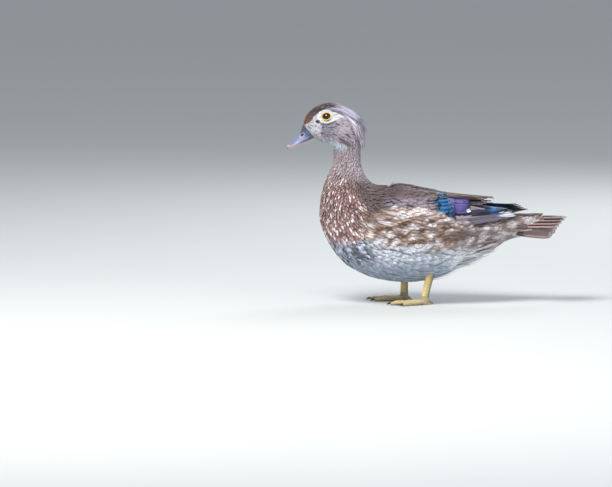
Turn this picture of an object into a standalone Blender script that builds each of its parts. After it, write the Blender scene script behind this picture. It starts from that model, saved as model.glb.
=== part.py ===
"""A wood duck hen, life size, standing on both feet as a still model.

Metres, +Z up. The bird faces -X and its left side faces -Y. The head, neck and torso are one lofted
body, parted by thin flat cuts. Every feathered or horny piece is placed on that loft by a station,
an angle from the ridge of the back and a height above the surface.
"""
import math
import random

import bmesh
import bpy
import numpy as np
from mathutils import Matrix, Vector

# Driving sizes, in metres and degrees. GAP parts two nodes that touch.
GAP = 0.0003
RING_POINTS = 28
ROUNDNESS = 0.93
EYE_RADIUS = 0.0062
EYE_BULGE = 0.0021
EYE_STATION = 19.44
EYE_ANGLE = 73.5
EYE_SIDES = (16, 9)
LID_RADIUS = 0.0053
LID_THICKNESS = 0.0009
LID_SIDES = (14, 4)
NOSTRIL_SIZE = (0.0021, 0.0060, 0.0011)
NOSTRIL_PLACE = (-0.1560, 0.0095, 0.2106)
NOSTRIL_TILT = -40
VANE_THICKNESS = 0.0008
PAD_FRONT = -0.054
PAD_REAR = 0.070
PAD_CELLS = (11, 7)
PAD_UNDERSIDE = 0.0007
PAD_EDGE = 0.0014
PAD_RISE = 0.0056
PAD_SHOULDER = 0.0030
PAD_FALL = 0.45
PAD_TOP_EDGE = ((0.0, 0.14, 0.5, 1.0), (25, 13, 12, 17))
PAD_LOW_EDGE = ((0.0, 0.14, 0.35, 0.62, 1.0), (46, 58, 65, 73, 60))
TAIL_ROOT_LENGTH = 0.0300
TAIL_ROOT_SIZE = (0.0150, 0.0148)
TAIL_ROOT_MIDDLE = 0.0970
TAIL_CURVE = 1.4
TAIL_BOW = 0.0015
HIP_HEIGHT = 0.064
KNEE_HEIGHT = 0.052
ANKLE_HEIGHT = 0.040
SHANK_RADIUS = 0.0042
SHANK_NARROWING = 0.66
FOOT_SPREAD = 0.0275
FOOT_TURN = 9
SOLE_TOP = 0.0094
JOINT_HEIGHT = 0.0052
TOE_RADIUS = 0.0028
WEB_TOP = 0.0012
WEB_NOTCH = 0.76
HIND_TOE_LENGTH = 0.0125
HIND_TOE_TURN = 29

# How far ahead each ankle and each foot stands, as x.
STANCE = {"left": (0.0050, -0.0022), "right": (-0.0262, -0.0268)}

# The loft's stations, from the tail forward to the bill: each is a flat slice across the body, from
# its dorsal point (x, z) to its ventral point (x, z), with half its width and how pear-shaped it is.
# The first one is past the end of the torso, and only guides the feathers that reach over the tail.
STATIONS = [
    ("beyond the tail base", 0.1500, 0.1100, 0.1500, 0.0900, 0.0100, 0.00),
    ("tail base", 0.1075, 0.1115, 0.1075, 0.0815, 0.0150, 0.00),
    ("rump", 0.0800, 0.1185, 0.0800, 0.0650, 0.0270, 0.00),
    ("hip", 0.0488, 0.1260, 0.0488, 0.0485, 0.0400, -0.04),
    ("loin", 0.0175, 0.1335, 0.0200, 0.0345, 0.0485, -0.06),
    ("mid back", -0.0138, 0.1405, -0.0100, 0.0275, 0.0525, -0.06),
    ("shoulder", -0.0360, 0.1450, -0.0375, 0.0272, 0.0530, -0.06),
    ("low breast", -0.0500, 0.1468, -0.0700, 0.0335, 0.0505, -0.05),
    ("breast", -0.0590, 0.1478, -0.1000, 0.0490, 0.0465, -0.04),
    ("breast front", -0.0650, 0.1493, -0.1200, 0.0730, 0.0415, -0.02),
    ("upper breast", -0.0690, 0.1515, -0.1320, 0.1020, 0.0360, 0.00),
    ("neck root", -0.0725, 0.1550, -0.1318, 0.1290, 0.0305, 0.00),
    ("lower neck", -0.0775, 0.1620, -0.1260, 0.1530, 0.0235, 0.00),
    ("mid neck", -0.0812, 0.1735, -0.1180, 0.1705, 0.0182, 0.00),
    ("slender neck", -0.0820, 0.1860, -0.1152, 0.1860, 0.0158, 0.00),
    ("throat", -0.0808, 0.1990, -0.1183, 0.1985, 0.0172, 0.00),
    ("nape", -0.0805, 0.2130, -0.1240, 0.2015, 0.0203, -0.04),
    ("back of the head", -0.0845, 0.2290, -0.1290, 0.2028, 0.0216, -0.08),
    ("crown", -0.0975, 0.2430, -0.1328, 0.2038, 0.0214, -0.12),
    ("top of the crown", -0.1120, 0.2498, -0.1353, 0.2045, 0.0199, -0.14),
    ("brow", -0.1265, 0.2500, -0.1370, 0.2050, 0.0176, -0.16),
    ("forehead", -0.1395, 0.2448, -0.1380, 0.2054, 0.0147, -0.18),
    ("lore", -0.1500, 0.2350, -0.1388, 0.2057, 0.0118, -0.20),
    ("bill base", -0.1537, 0.2235, -0.1394, 0.2060, 0.0092, -0.22),
]
TABLE = np.array([row[1:] for row in STATIONS])
LAST = len(STATIONS) - 1
TAIL_CUT = 1.0
NECK_ROOT_CUT = 10.6
HEAD_CUT = 15.0

# The bill's stations, from the face to the tip, in the same form.
BILL_STATIONS = [
    ("against the face", -0.1537, 0.2235, -0.1394, 0.2060, 0.0090, -0.22),
    ("over the nostrils", -0.1570, 0.2142, -0.1472, 0.2012, 0.0086, -0.20),
    ("bridge", -0.1612, 0.2082, -0.1550, 0.1982, 0.0083, -0.12),
    ("blade", -0.1668, 0.2020, -0.1620, 0.1952, 0.0082, -0.05),
    ("nail", -0.1716, 0.1980, -0.1684, 0.1932, 0.0068, 0.00),
    ("tip", -0.1744, 0.1958, -0.1728, 0.1932, 0.0034, 0.00),
]
BILL_TABLE = np.array([row[1:] for row in BILL_STATIONS])
MOUTH_CORNER = (-0.1390, 0.2082)
MOUTH_TIP = (-0.1744, 0.1938)

# Feathers in tiers. A row gives how many there are, the root and the tip of the first one, the root
# and the tip of the last one, half the width of a feather and the shape of its end. On the crest a
# place is a station, an angle and a height above the body. On a wing it starts with x instead of a
# station, and the angles are the left wing's mirrored.
CREST_TIERS = [
    (5, (18.4, -46, -0.0012), (16.7, -50, 0.0022), (18.4, 46, -0.0012), (16.7, 50, 0.0022), 0.0050, "round"),
    (6, (17.6, -52, -0.0012), (15.8, -54, 0.0042), (17.6, 52, -0.0012), (15.8, 54, 0.0042), 0.0048, "round"),
    (5, (16.9, -42, -0.0010), (14.7, -38, 0.0062), (16.9, 42, -0.0010), (14.7, 38, 0.0062), 0.0046, "spear"),
]
WING_TIERS = {
    "primaries": (6, (0.010, 75, 0.0022), (0.120, 33, 0.0044), (0.028, 52, 0.0030), (0.086, 25, 0.0100),
                  0.0072, "pointed"),
    "secondaries": (5, (-0.002, 70, 0.0026), (0.054, 55, 0.0074), (-0.002, 38, 0.0042), (0.058, 31, 0.0096),
                    0.0082, "long"),
    "greater coverts": (6, (-0.022, 68, 0.0030), (0.024, 67, 0.0072), (-0.020, 28, 0.0042),
                        (0.032, 27, 0.0098), 0.0078, "round"),
    "median coverts": (6, (-0.034, 60, 0.0030), (0.004, 62, 0.0082), (-0.032, 28, 0.0040),
                       (0.010, 26, 0.0104), 0.0072, "round"),
    "tertials": (3, (-0.012, 36, 0.0050), (0.060, 33, 0.0125), (-0.006, 20, 0.0062), (0.085, 17, 0.0172),
                 0.0085, "long"),
    "scapulars": (6, (-0.046, 50, 0.0020), (-0.010, 50, 0.0100), (-0.040, 12, 0.0030), (0.026, 14, 0.0128),
                  0.0086, "round"),
}
# The right wing is folded higher, so its long feathers show past the left one: a shift of their tips.
WING_TIP_SHIFT = {"left": (0.0, 0.0, 0.0), "right": (0.009, -6.0, 0.0045)}

# Tail feathers in pairs. A row gives how many pairs, the root and the tip of the middle pair, the
# root and the tip of the outer pair, half the width of a feather, and how far the middle and the
# outer pair lean outwards. A place is x behind the torso, y and z.
TAIL_TIERS = {
    "tail feathers": (7, (0.005, 0.0015, 0.1055), (0.067, 0.0050, 0.1082), (0.005, 0.0100, 0.0905),
                      (0.050, 0.0340, 0.0887), 0.0082, (8, 48)),
    "upper coverts": (3, (0.002, 0.0035, 0.1085), (0.034, 0.0055, 0.1125), (0.002, 0.0105, 0.1035),
                      (0.030, 0.0175, 0.1050), 0.0070, (8, 38)),
    "under coverts": (3, (0.002, 0.0030, 0.0875), (0.032, 0.0050, 0.0815), (0.002, 0.0100, 0.0905),
                      (0.026, 0.0170, 0.0845), 0.0072, (-8, -22)),
}

# Feather outlines: the share of the length, and the share of the full width there.
VANE_ENDS = {
    "round": ((0.0, 0.62), (0.60, 1.0), (0.90, 0.80), (1.0, 0.32)),
    "long": ((0.0, 0.60), (0.35, 0.95), (0.75, 1.0), (0.92, 0.78), (1.0, 0.30)),
    "pointed": ((0.0, 0.60), (0.35, 0.95), (0.70, 0.95), (0.90, 0.60), (1.0, 0.15)),
    "spear": ((0.0, 0.62), (0.55, 1.0), (0.85, 0.70), (1.0, 0.15)),
}

# The front toes, inner to outer: the way each points, from straight ahead, and its length with the claw.
TOES = ((-27, 0.038), (0, 0.048), (25, 0.044))
TOE_SHARES = (0.0, 0.16, 0.36, 0.52, 0.72, 0.88)
TOE_SWELL = (1.30, 1.0, 1.14, 0.92, 1.05, 0.85)
TOE_HEIGHTS = (0.0046, 0.0034, 0.0027, 0.0022, 0.0022, 0.0020)

FEATHER_BROWN = (0.165, 0.115, 0.088)
HEAD_GREY = (0.235, 0.200, 0.190)
TAIL_BROWN = (0.150, 0.105, 0.092)
WING_GREY = (0.160, 0.125, 0.120)
BILL_GREY = (0.260, 0.290, 0.370)
LEG_OCHRE = (0.520, 0.360, 0.120)
FOOT_DUSKY = (0.330, 0.250, 0.140)
EYE_DARK = (0.020, 0.012, 0.010)


def clear_scene():
    for obj in list(bpy.data.objects):
        bpy.data.objects.remove(obj)


def material(name, colour, roughness):
    made = bpy.data.materials.new(name)
    made.use_nodes = True
    shader = made.node_tree.nodes["Principled BSDF"]
    shader.inputs["Base Color"].default_value = (*colour, 1.0)
    shader.inputs["Roughness"].default_value = roughness
    shader.inputs["Metallic"].default_value = 0.0
    return made


def closed_object(name, points, faces, finish=None):
    """A mesh object whose faces all point outwards."""
    mesh = bpy.data.meshes.new(name)
    mesh.from_pydata([tuple(p) for p in points], [], faces)
    shape = bmesh.new()
    shape.from_mesh(mesh)
    bmesh.ops.recalc_face_normals(shape, faces=shape.faces)
    shape.to_mesh(mesh)
    shape.free()
    obj = bpy.data.objects.new(name, mesh)
    bpy.context.scene.collection.objects.link(obj)
    if finish:
        obj.data.materials.append(finish)
    return obj


def smooth_row(table, station):
    """The table's row at a fractional station, on a smooth curve through its rows."""
    last = len(table) - 1
    k = int(min(max(math.floor(station), 0), last - 1))
    t = station - k
    before, a = table[max(k - 1, 0)], table[k]
    b, after = table[k + 1], table[min(k + 2, last)]
    slope_a, slope_b = (b - before) / 2, (after - a) / 2
    return (
        a * (2 * t**3 - 3 * t**2 + 1)
        + slope_a * (t**3 - 2 * t**2 + t)
        + b * (3 * t**2 - 2 * t**3)
        + slope_b * (t**3 - t**2)
    )


def section_point(table, station, angle, grow=0.0):
    """A point of the loft: angle is in degrees from the dorsal point, positive towards +Y."""
    dx, dz, vx, vz, half_width, pear = smooth_row(table, station)
    centre = np.array([(dx + vx) / 2, 0.0, (dz + vz) / 2])
    rise = np.array([(dx - vx) / 2, 0.0, (dz - vz) / 2])
    rise *= 1 + grow / np.linalg.norm(rise)
    c, s = math.cos(math.radians(angle)), math.sin(math.radians(angle))
    up = math.copysign(abs(c) ** ROUNDNESS, c)
    out = math.copysign(abs(s) ** ROUNDNESS, s)
    across = (half_width + grow) * out * (1 + pear * up)
    return centre + rise * up + np.array([0.0, across, 0.0])


def body_normal(station, angle):
    step, turn = 0.05, 1.5
    along = section_point(TABLE, station + step, angle) - section_point(TABLE, station - step, angle)
    around = section_point(TABLE, station, angle + turn) - section_point(TABLE, station, angle - turn)
    normal = np.cross(around, along)
    normal /= np.linalg.norm(normal)
    outwards = section_point(TABLE, station, angle) - section_point(TABLE, station, angle, grow=-0.002)
    return normal if normal @ outwards > 0 else -normal


def body_point(station, angle, height=0.0):
    """A point that stands a given height above the loft's surface."""
    return section_point(TABLE, station, angle) + body_normal(station, angle) * height


def station_at(x):
    """The station of the torso whose slice has its middle at x."""
    steps = np.linspace(0.0, 7.0, 281)
    middles = [-(smooth_row(TABLE, s)[0] + smooth_row(TABLE, s)[2]) / 2 for s in steps]
    return float(np.interp(-x, middles, steps))


def lofted(name, rings, finish=None):
    """A closed tube through the rings, with flat ends."""
    count, size = len(rings), len(rings[0])
    faces = [list(range(size)), list(range((count - 1) * size, count * size))]
    for i in range(count - 1):
        for j in range(size):
            a, b = i * size + j, i * size + (j + 1) % size
            faces.append([a, b, b + size, a + size])
    return closed_object(name, np.concatenate(rings), faces, finish)


def loft_of(name, table, stations, finish=None, grow=0.0, size=RING_POINTS):
    angles = [360.0 * j / size for j in range(size)]
    rings = [np.array([section_point(table, s, a, grow) for a in angles]) for s in stations]
    return lofted(name, rings, finish)


def tube(name, points, radii, finish=None, size=12, squash=1.0):
    """A closed tube through points, its sections level where squash narrows them across Y."""
    points = [Vector(p) for p in points]
    rings = []
    for i, p in enumerate(points):
        along = (points[min(i + 1, len(points) - 1)] - points[max(i - 1, 0)]).normalized()
        side = along.cross(Vector((0, 1, 0)))
        side = side.normalized() if side.length > 0.05 else Vector((1, 0, 0))
        other = along.cross(side).normalized()
        ring = []
        for j in range(size):
            turn = 2 * math.pi * j / size
            ring.append(p + side * radii[i] * math.cos(turn) + other * radii[i] * squash * math.sin(turn))
        rings.append(np.array([list(q) for q in ring]))
    return lofted(name, rings, finish)


def ball(name, centre, radii, segments=EYE_SIDES[0], rings=EYE_SIDES[1], finish=None):
    bpy.ops.mesh.primitive_uv_sphere_add(segments=segments, ring_count=rings, radius=1.0)
    obj = bpy.context.object
    obj.name = name
    obj.data.transform(Matrix.Translation(Vector(centre)) @ Matrix.Diagonal((*radii, 1.0)))
    if finish:
        obj.data.materials.append(finish)
    return obj


def block(name, low, high):
    bpy.ops.mesh.primitive_cube_add(size=1.0)
    obj = bpy.context.object
    obj.name = name
    middle, size = (Vector(low) + Vector(high)) / 2, Vector(high) - Vector(low)
    obj.data.transform(Matrix.Translation(middle) @ Matrix.Diagonal((*size, 1.0)))
    return obj


def ring_on(name, centre, axis, radius, thickness):
    """A torus round an axis, for an eyelid."""
    bpy.ops.mesh.primitive_torus_add(
        major_segments=LID_SIDES[0], minor_segments=LID_SIDES[1], major_radius=radius, minor_radius=thickness
    )
    obj = bpy.context.object
    obj.name = name
    turn = Vector((0, 0, 1)).rotation_difference(Vector(axis)).to_matrix().to_4x4()
    obj.data.transform(Matrix.Translation(Vector(centre)) @ turn)
    return obj


def largest_shell(mesh):
    """Keeps only the closed surface that holds the most."""
    shape = bmesh.new()
    shape.from_mesh(mesh)
    shape.faces.ensure_lookup_table()
    left, shells = set(shape.faces), []
    while left:
        stack, shell = [left.pop()], []
        while stack:
            face = stack.pop()
            shell.append(face)
            for edge in face.edges:
                for other in edge.link_faces:
                    if other in left:
                        left.discard(other)
                        stack.append(other)
        shells.append(shell)

    def held(shell):
        total = 0.0
        for face in shell:
            corners = [v.co for v in face.verts]
            for b, c in zip(corners[1:-1], corners[2:]):
                total += corners[0].dot(b.cross(c)) / 6
        return total

    best = max(shells, key=held)
    loose = [face for shell in shells if shell is not best for face in shell]
    bmesh.ops.delete(shape, geom=loose, context="FACES")
    bmesh.ops.triangulate(shape, faces=shape.faces)
    shape.to_mesh(mesh)
    shape.free()


def evaluated_mesh(obj):
    bpy.context.view_layer.update()
    graph = bpy.context.evaluated_depsgraph_get()
    return bpy.data.meshes.new_from_object(obj.evaluated_get(graph), depsgraph=graph)


def combine(obj, others, operation, solver):
    """One Boolean of obj with a collection of closed objects, applied; the others are then removed."""
    group = bpy.data.collections.new(obj.name + "_" + operation.lower())
    bpy.context.scene.collection.children.link(group)
    for other in others:
        group.objects.link(other)
    step = obj.modifiers.new(operation, "BOOLEAN")
    step.operation = operation
    step.operand_type = "COLLECTION"
    step.collection = group
    step.solver = solver
    mesh = evaluated_mesh(obj)
    obj.modifiers.clear()
    obj.data = mesh
    for other in others:
        bpy.data.objects.remove(other)
    bpy.data.collections.remove(group)
    largest_shell(obj.data)


def fused(name, pieces, finish, cutters=(), solver="EXACT"):
    """Joins the pieces into one closed body, then takes the cutters away from it."""
    obj = pieces[0]
    obj.name = name
    if len(pieces) > 1:
        combine(obj, pieces[1:], "UNION", solver)
    if cutters:
        combine(obj, list(cutters), "DIFFERENCE", solver)
    obj.data.materials.clear()
    obj.data.materials.append(finish)
    return obj


def slice_plane(station):
    """A point on the slice at this station, and the direction that leads from it towards the bill."""
    dorsal, ventral = section_point(TABLE, station, 0), section_point(TABLE, station, 180)
    normal = np.cross(dorsal - ventral, [0, 1, 0])
    normal /= np.linalg.norm(normal)
    ahead = section_point(TABLE, station + 0.3, 90) - section_point(TABLE, station - 0.3, 90)
    return (dorsal + ventral) / 2, normal if normal @ ahead > 0 else -normal


def keep_side(obj, point, normal, towards):
    """Cuts obj flat at a plane, half a gap back from it, and keeps one side."""
    direction = np.array(normal) * towards
    shape = bmesh.new()
    shape.from_mesh(obj.data)
    cut = bmesh.ops.bisect_plane(
        shape,
        geom=shape.verts[:] + shape.edges[:] + shape.faces[:],
        plane_co=point + direction * GAP / 2,
        plane_no=direction,
        clear_inner=True,
        dist=1e-7,
    )
    rim = [g for g in cut["geom_cut"] if isinstance(g, bmesh.types.BMEdge)]
    bmesh.ops.holes_fill(shape, edges=rim)
    bmesh.ops.recalc_face_normals(shape, faces=shape.faces)
    shape.to_mesh(obj.data)
    shape.free()


def whole_body(name, finish=None):
    steps = list(np.linspace(TAIL_CUT, 6, 16)) + list(np.linspace(6, 13, 22))[1:]
    steps += list(np.linspace(13, 16, 7))[1:] + list(np.linspace(16, LAST, 16))[1:]
    return loft_of(name, TABLE, steps, finish)


def torso_clearance(name):
    """The torso grown by the gap, which cuts away what would sink into it."""
    steps = list(np.linspace(TAIL_CUT, 6, 16)) + list(np.linspace(6, 9, 10))[1:]
    return loft_of(name, TABLE, steps, grow=GAP)


def vane(name, place, half_width, end="round", thickness=VANE_THICKNESS, across=2):
    """A thin closed feather. place(t, offset) is its surface, with t from root to tip and offset its
    distance from the middle line; it returns a point and the outward normal there."""
    steps = VANE_ENDS[end]
    points, count = [], len(steps)
    for layer in (0.5, -0.5):
        for t, share in steps:
            for k in range(across):
                at, normal = place(t, (2 * k / (across - 1) - 1) * share * half_width)
                points.append(at + normal * thickness * layer)
    under = count * across
    faces = []
    for i in range(count - 1):
        for k in range(across - 1):
            a, b = i * across + k, (i + 1) * across + k
            faces += [[a, b, b + 1], [a, b + 1, a + 1]]
            faces += [[under + a, under + b + 1, under + b], [under + a, under + a + 1, under + b + 1]]
    rim = [i * across for i in range(count)] + [(count - 1) * across + k for k in range(1, across)]
    rim += [i * across + across - 1 for i in range(count - 2, -1, -1)]
    rim += [k for k in range(across - 2, 0, -1)]
    for a, b in zip(rim, rim[1:] + rim[:1]):
        faces.append([a, under + a, under + b, b])
    return closed_object(name, points, faces)


def body_vane(name, root, tip, half_width, end="round"):
    """A feather that lies over the body. root and tip are (station, angle, height)."""
    root, tip = np.array(root, float), np.array(tip, float)

    def place(t, offset):
        station, angle, height = root + (tip - root) * t
        middle = section_point(TABLE, station, angle)
        beside = section_point(TABLE, station, angle + 1)
        angle += offset / (np.linalg.norm(beside - middle) + math.radians(height))
        normal = body_normal(station, angle)
        return section_point(TABLE, station, angle) + normal * height, normal

    return vane(name, place, half_width, end)


def tier_of(row, draw, side=1):
    """The feathers of one tier, as (root, tip, half width, end), each a little unlike the next."""
    count, first_root, first_tip, last_root, last_tip, half_width, end = row
    for k in range(count):
        share = k / (count - 1)
        root = np.array(first_root) + (np.array(last_root) - np.array(first_root)) * share
        tip = np.array(first_tip) + (np.array(last_tip) - np.array(first_tip)) * share
        tip[1] += draw.uniform(-1.0, 1.0)
        tip[0] += (tip[0] - root[0]) * draw.uniform(-0.04, 0.04)
        root[1] *= side
        tip[1] *= side
        yield root, tip, half_width * draw.uniform(0.96, 1.06), end


def build_body(finishes):
    """The torso, neck and head: one loft, parted by two thin cuts."""
    cuts = {"torso": (None, NECK_ROOT_CUT), "neck": (NECK_ROOT_CUT, HEAD_CUT), "head": (HEAD_CUT, None)}
    made = {}
    for name, (rear, front) in cuts.items():
        obj = whole_body(name, finishes["head" if name == "head" else "body"])
        if rear:
            keep_side(obj, *slice_plane(rear), 1)
        if front:
            keep_side(obj, *slice_plane(front), -1)
        made[name] = obj
    return made


def eye_place(side):
    """Where an eye breaks the face, and the way that it looks."""
    angle = EYE_ANGLE * side
    return section_point(TABLE, EYE_STATION, angle), body_normal(EYE_STATION, angle)


def build_eyes(finish):
    for side, word in ((-1, "left"), (1, "right")):
        surface, look = eye_place(side)
        centre = surface - look * (EYE_RADIUS - EYE_BULGE)
        ball("eye_" + word, centre, (EYE_RADIUS,) * 3, finish=finish)


def finish_head(head, crest, finish):
    """Adds the crest and the lids, and hollows the two eye sockets."""
    lids, sockets = [], []
    for side in (-1, 1):
        surface, look = eye_place(side)
        lids.append(ring_on("lid", surface + look * 0.0002, look, LID_RADIUS, LID_THICKNESS))
        centre = surface - look * (EYE_RADIUS - EYE_BULGE)
        sockets.append(ball("socket", centre, (EYE_RADIUS + GAP,) * 3))
    fused("head", [head, *crest, *lids], finish, sockets)


def build_crest():
    """The short crest that hangs off the back of the head, feather by feather."""
    draw = random.Random(3)
    feathers = []
    for row in CREST_TIERS:
        for root, tip, half_width, end in tier_of(row, draw):
            feathers.append(body_vane("crest", root, tip, half_width, end))
    return feathers


def build_bill(finish):
    """Upper and lower bill, parted by the line of the mouth, with a nostril in each side."""
    steps = np.linspace(0, len(BILL_STATIONS) - 1, 14)
    face_point, face_normal = slice_plane(LAST)
    corner = np.array([MOUTH_CORNER[0], 0, MOUTH_CORNER[1]])
    tip = np.array([MOUTH_TIP[0], 0, MOUTH_TIP[1]])
    mouth_normal = np.cross(tip - corner, [0, 1, 0])
    mouth_normal *= math.copysign(1 / np.linalg.norm(mouth_normal), mouth_normal[2])
    for name, up in (("bill_upper", 1), ("bill_lower", -1)):
        obj = loft_of(name, BILL_TABLE, steps, finish, size=20)
        keep_side(obj, face_point + face_normal * GAP, face_normal, 1)
        keep_side(obj, corner, mouth_normal, up)
        if up == 1:
            fused(name, [obj], finish, [nostril(-1), nostril(1)])


def nostril(side):
    """A cutter for one slit of the bill."""
    pit = ball("nostril", (0, 0, 0), NOSTRIL_SIZE, 12, 8)
    x, y, z = NOSTRIL_PLACE
    tilt = Matrix.Rotation(math.radians(NOSTRIL_TILT), 4, "Y")
    pit.data.transform(Matrix.Translation((x, y * side, z)) @ tilt)
    return pit


def build_wing(word, side, finish):
    """A folded wing: the rounded mass of the shoulder and arm, with its feathers in tiers."""
    draw = random.Random(7 + side)
    pieces = [wing_pad("pad", side)]
    for name, row in WING_TIERS.items():
        for root, tip, half_width, end in tier_of(row, draw, side):
            if name == "primaries":
                tip += np.array(WING_TIP_SHIFT[word]) * (1, side, 1)
            root[0], tip[0] = station_at(root[0]), station_at(tip[0])
            pieces.append(body_vane(name, root, tip, half_width, end))
    fused("wing_" + word, pieces, finish, [other_side(side)])


def other_side(side):
    """The space past the middle of the back, which belongs to the other wing."""
    near, far = -side * 0.2, side * GAP
    return block("other_side", (-0.3, min(near, far), 0.0), (0.3, max(near, far), 0.3))


def wing_pad(name, side):
    """The smooth mass under the coverts, domed over the side of the torso."""
    along, across = PAD_CELLS
    top, under = [], []
    for i in range(along):
        u = i / (along - 1)
        station = station_at(PAD_FRONT + (PAD_REAR - PAD_FRONT) * u)
        low, high = np.interp(u, *PAD_TOP_EDGE), np.interp(u, *PAD_LOW_EDGE)
        for j in range(across):
            v = j / (across - 1)
            angle = side * (low + (high - low) * v)
            dome = (1 - (2 * u - 1) ** 6) * (1 - (2 * v - 1) ** 4)
            rise = PAD_RISE * (1 - PAD_FALL * u) + PAD_SHOULDER * (1 - v)
            top.append(body_point(station, angle, PAD_EDGE + rise * dome))
            under.append(body_point(station, angle, PAD_UNDERSIDE))
    cell = lambda i, j: i * across + j
    size, faces = along * across, []
    for i in range(along - 1):
        for j in range(across - 1):
            a, b, c, d = cell(i, j), cell(i + 1, j), cell(i + 1, j + 1), cell(i, j + 1)
            faces += [[a, b, c], [a, c, d], [size + a, size + c, size + b], [size + a, size + d, size + c]]
    edge = [cell(i, 0) for i in range(along)] + [cell(along - 1, j) for j in range(1, across)]
    edge += [cell(i, across - 1) for i in range(along - 2, -1, -1)]
    edge += [cell(0, j) for j in range(across - 2, 0, -1)]
    for a, b in zip(edge, edge[1:] + edge[:1]):
        faces.append([a, size + a, size + b, b])
    return closed_object(name, top + under, faces)


def tail_vane(name, root, tip, half_width, lean):
    """A feather of the tail between two points. Its face leans outwards by an angle in degrees."""
    turn = math.radians(lean)
    face = np.array([0.0, math.sin(turn), math.cos(turn)])
    across = np.array([0.0, math.cos(turn), -math.sin(turn)])

    def place(t, offset):
        return root + (tip - root) * t + across * offset + face * TAIL_BOW * math.sin(math.pi * t), face

    return vane(name, place, half_width)


def tail_tier(name, row, start):
    """The feathers of one tier of the tail, on both sides, the outer ones lower."""
    pairs, middle_root, middle_tip, outer_root, outer_tip, half_width, leans = row
    feathers = []
    for side in (-1, 1):
        for k in range(pairs):
            out = k / (pairs - 1)
            root = np.array(middle_root) + (np.array(outer_root) - np.array(middle_root)) * out
            bend = np.array([out**TAIL_CURVE, out, out**TAIL_CURVE])
            tip = np.array(middle_tip) + (np.array(outer_tip) - np.array(middle_tip)) * bend
            mirrored = np.array([1, side, 1])
            root, tip = (root * mirrored + (start, 0, 0)), (tip * mirrored + (start, 0, 0))
            lean = side * (leans[0] + (leans[1] - leans[0]) * out)
            feathers.append(tail_vane(name, root, tip, half_width, lean))
    return feathers


def build_tail(finish):
    """The tail: its root behind the torso, seven pairs of feathers stacked as a roof, and coverts."""
    start = section_point(TABLE, TAIL_CUT, 0)[0] + GAP
    half_width, half_height = TAIL_ROOT_SIZE
    rings = []
    for share, size in ((0.0, 0.97), (0.4, 0.86), (0.8, 0.66), (1.0, 0.45)):
        x, z = start + TAIL_ROOT_LENGTH * share, TAIL_ROOT_MIDDLE + 0.002 * share
        turns = [2 * math.pi * k / 20 for k in range(20)]
        rings.append(np.array([
            (x, half_width * size * math.sin(t), z + half_height * size * math.cos(t)) for t in turns
        ]))
    pieces = [lofted("root", rings)]
    for name, row in TAIL_TIERS.items():
        pieces += tail_tier(name, row, start)
    fused("tail", pieces, finish)


def build_leg(word, side, finish):
    """The feathered thigh below the belly, the ankle and the bare shank down to the foot."""
    ankle, foot = STANCE[word]
    y = side * FOOT_SPREAD
    hip, knee = (ankle + 0.012, y * 0.92, HIP_HEIGHT), (ankle + 0.006, y * 0.97, KNEE_HEIGHT)
    thigh = tube("thigh", [hip, knee, (ankle, y, ANKLE_HEIGHT)], (0.016, 0.0125, 0.0050), size=16)
    points, radii = [(ankle, y, ANKLE_HEIGHT + 0.005)], [SHANK_RADIUS]
    for share, swell in ((0.0, 1.22), (0.25, 1.07), (0.6, 1.0), (0.85, 1.07), (1.0, 1.18)):
        z = ANKLE_HEIGHT + (SOLE_TOP + GAP - ANKLE_HEIGHT) * share
        points.append((ankle + (foot - ankle) * share, y, z))
        radii.append(SHANK_RADIUS * swell)
    shank = tube("shank", points, radii, squash=SHANK_NARROWING)
    floor_side = block("below", (-0.2, -0.1, -0.02), (0.2, 0.1, SOLE_TOP + GAP))
    fused("leg_" + word, [thigh, shank], finish, [torso_clearance("clear"), floor_side])


def heading(side, spread):
    """The level way that points a given angle outwards from the foot's own line."""
    turn = math.radians(180 + side * (spread - FOOT_TURN))
    return Vector((math.cos(turn), math.sin(turn), 0))


def toe_pieces(joint, way, length):
    """One front toe with its pads, and its claw."""
    spine = [Vector((joint.x, joint.y, z)) + way * length * s for s, z in zip(TOE_SHARES, TOE_HEIGHTS)]
    toe = tube("toe", spine, [TOE_RADIUS * s for s in TOE_SWELL], size=8)
    claw = [spine[-1] - way * 0.001 + Vector((0, 0, 0.0008))]
    claw += [joint + way * length * 0.95, joint + way * length]
    claw[1].z, claw[2].z = 0.0024, 0.0006
    return [toe, tube("claw", claw, (0.0015, 0.0011, 0.0003), size=6)]


def web(joint, first, second):
    """The skin between two toes, each given as its way and length, with a hollow front edge."""
    (way_a, length_a), (way_b, length_b) = first, second
    middle = (way_a + way_b).normalized()
    rim = [joint - middle * 0.002, joint + way_a * length_a * 0.55, joint + way_a * length_a * 0.86]
    rim += [joint + middle * (length_a + length_b) / 2 * WEB_NOTCH]
    rim += [joint + way_b * length_b * 0.86, joint + way_b * length_b * 0.55]
    count = len(rim)
    low = [(p.x, p.y, -0.002) for p in rim]
    high = [(p.x, p.y, WEB_TOP) for p in rim]
    sides = [[k, (k + 1) % count, (k + 1) % count + count, k + count] for k in range(count)]
    return closed_object("web", low + high, [list(range(count)), list(range(count, 2 * count)), *sides])


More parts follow.
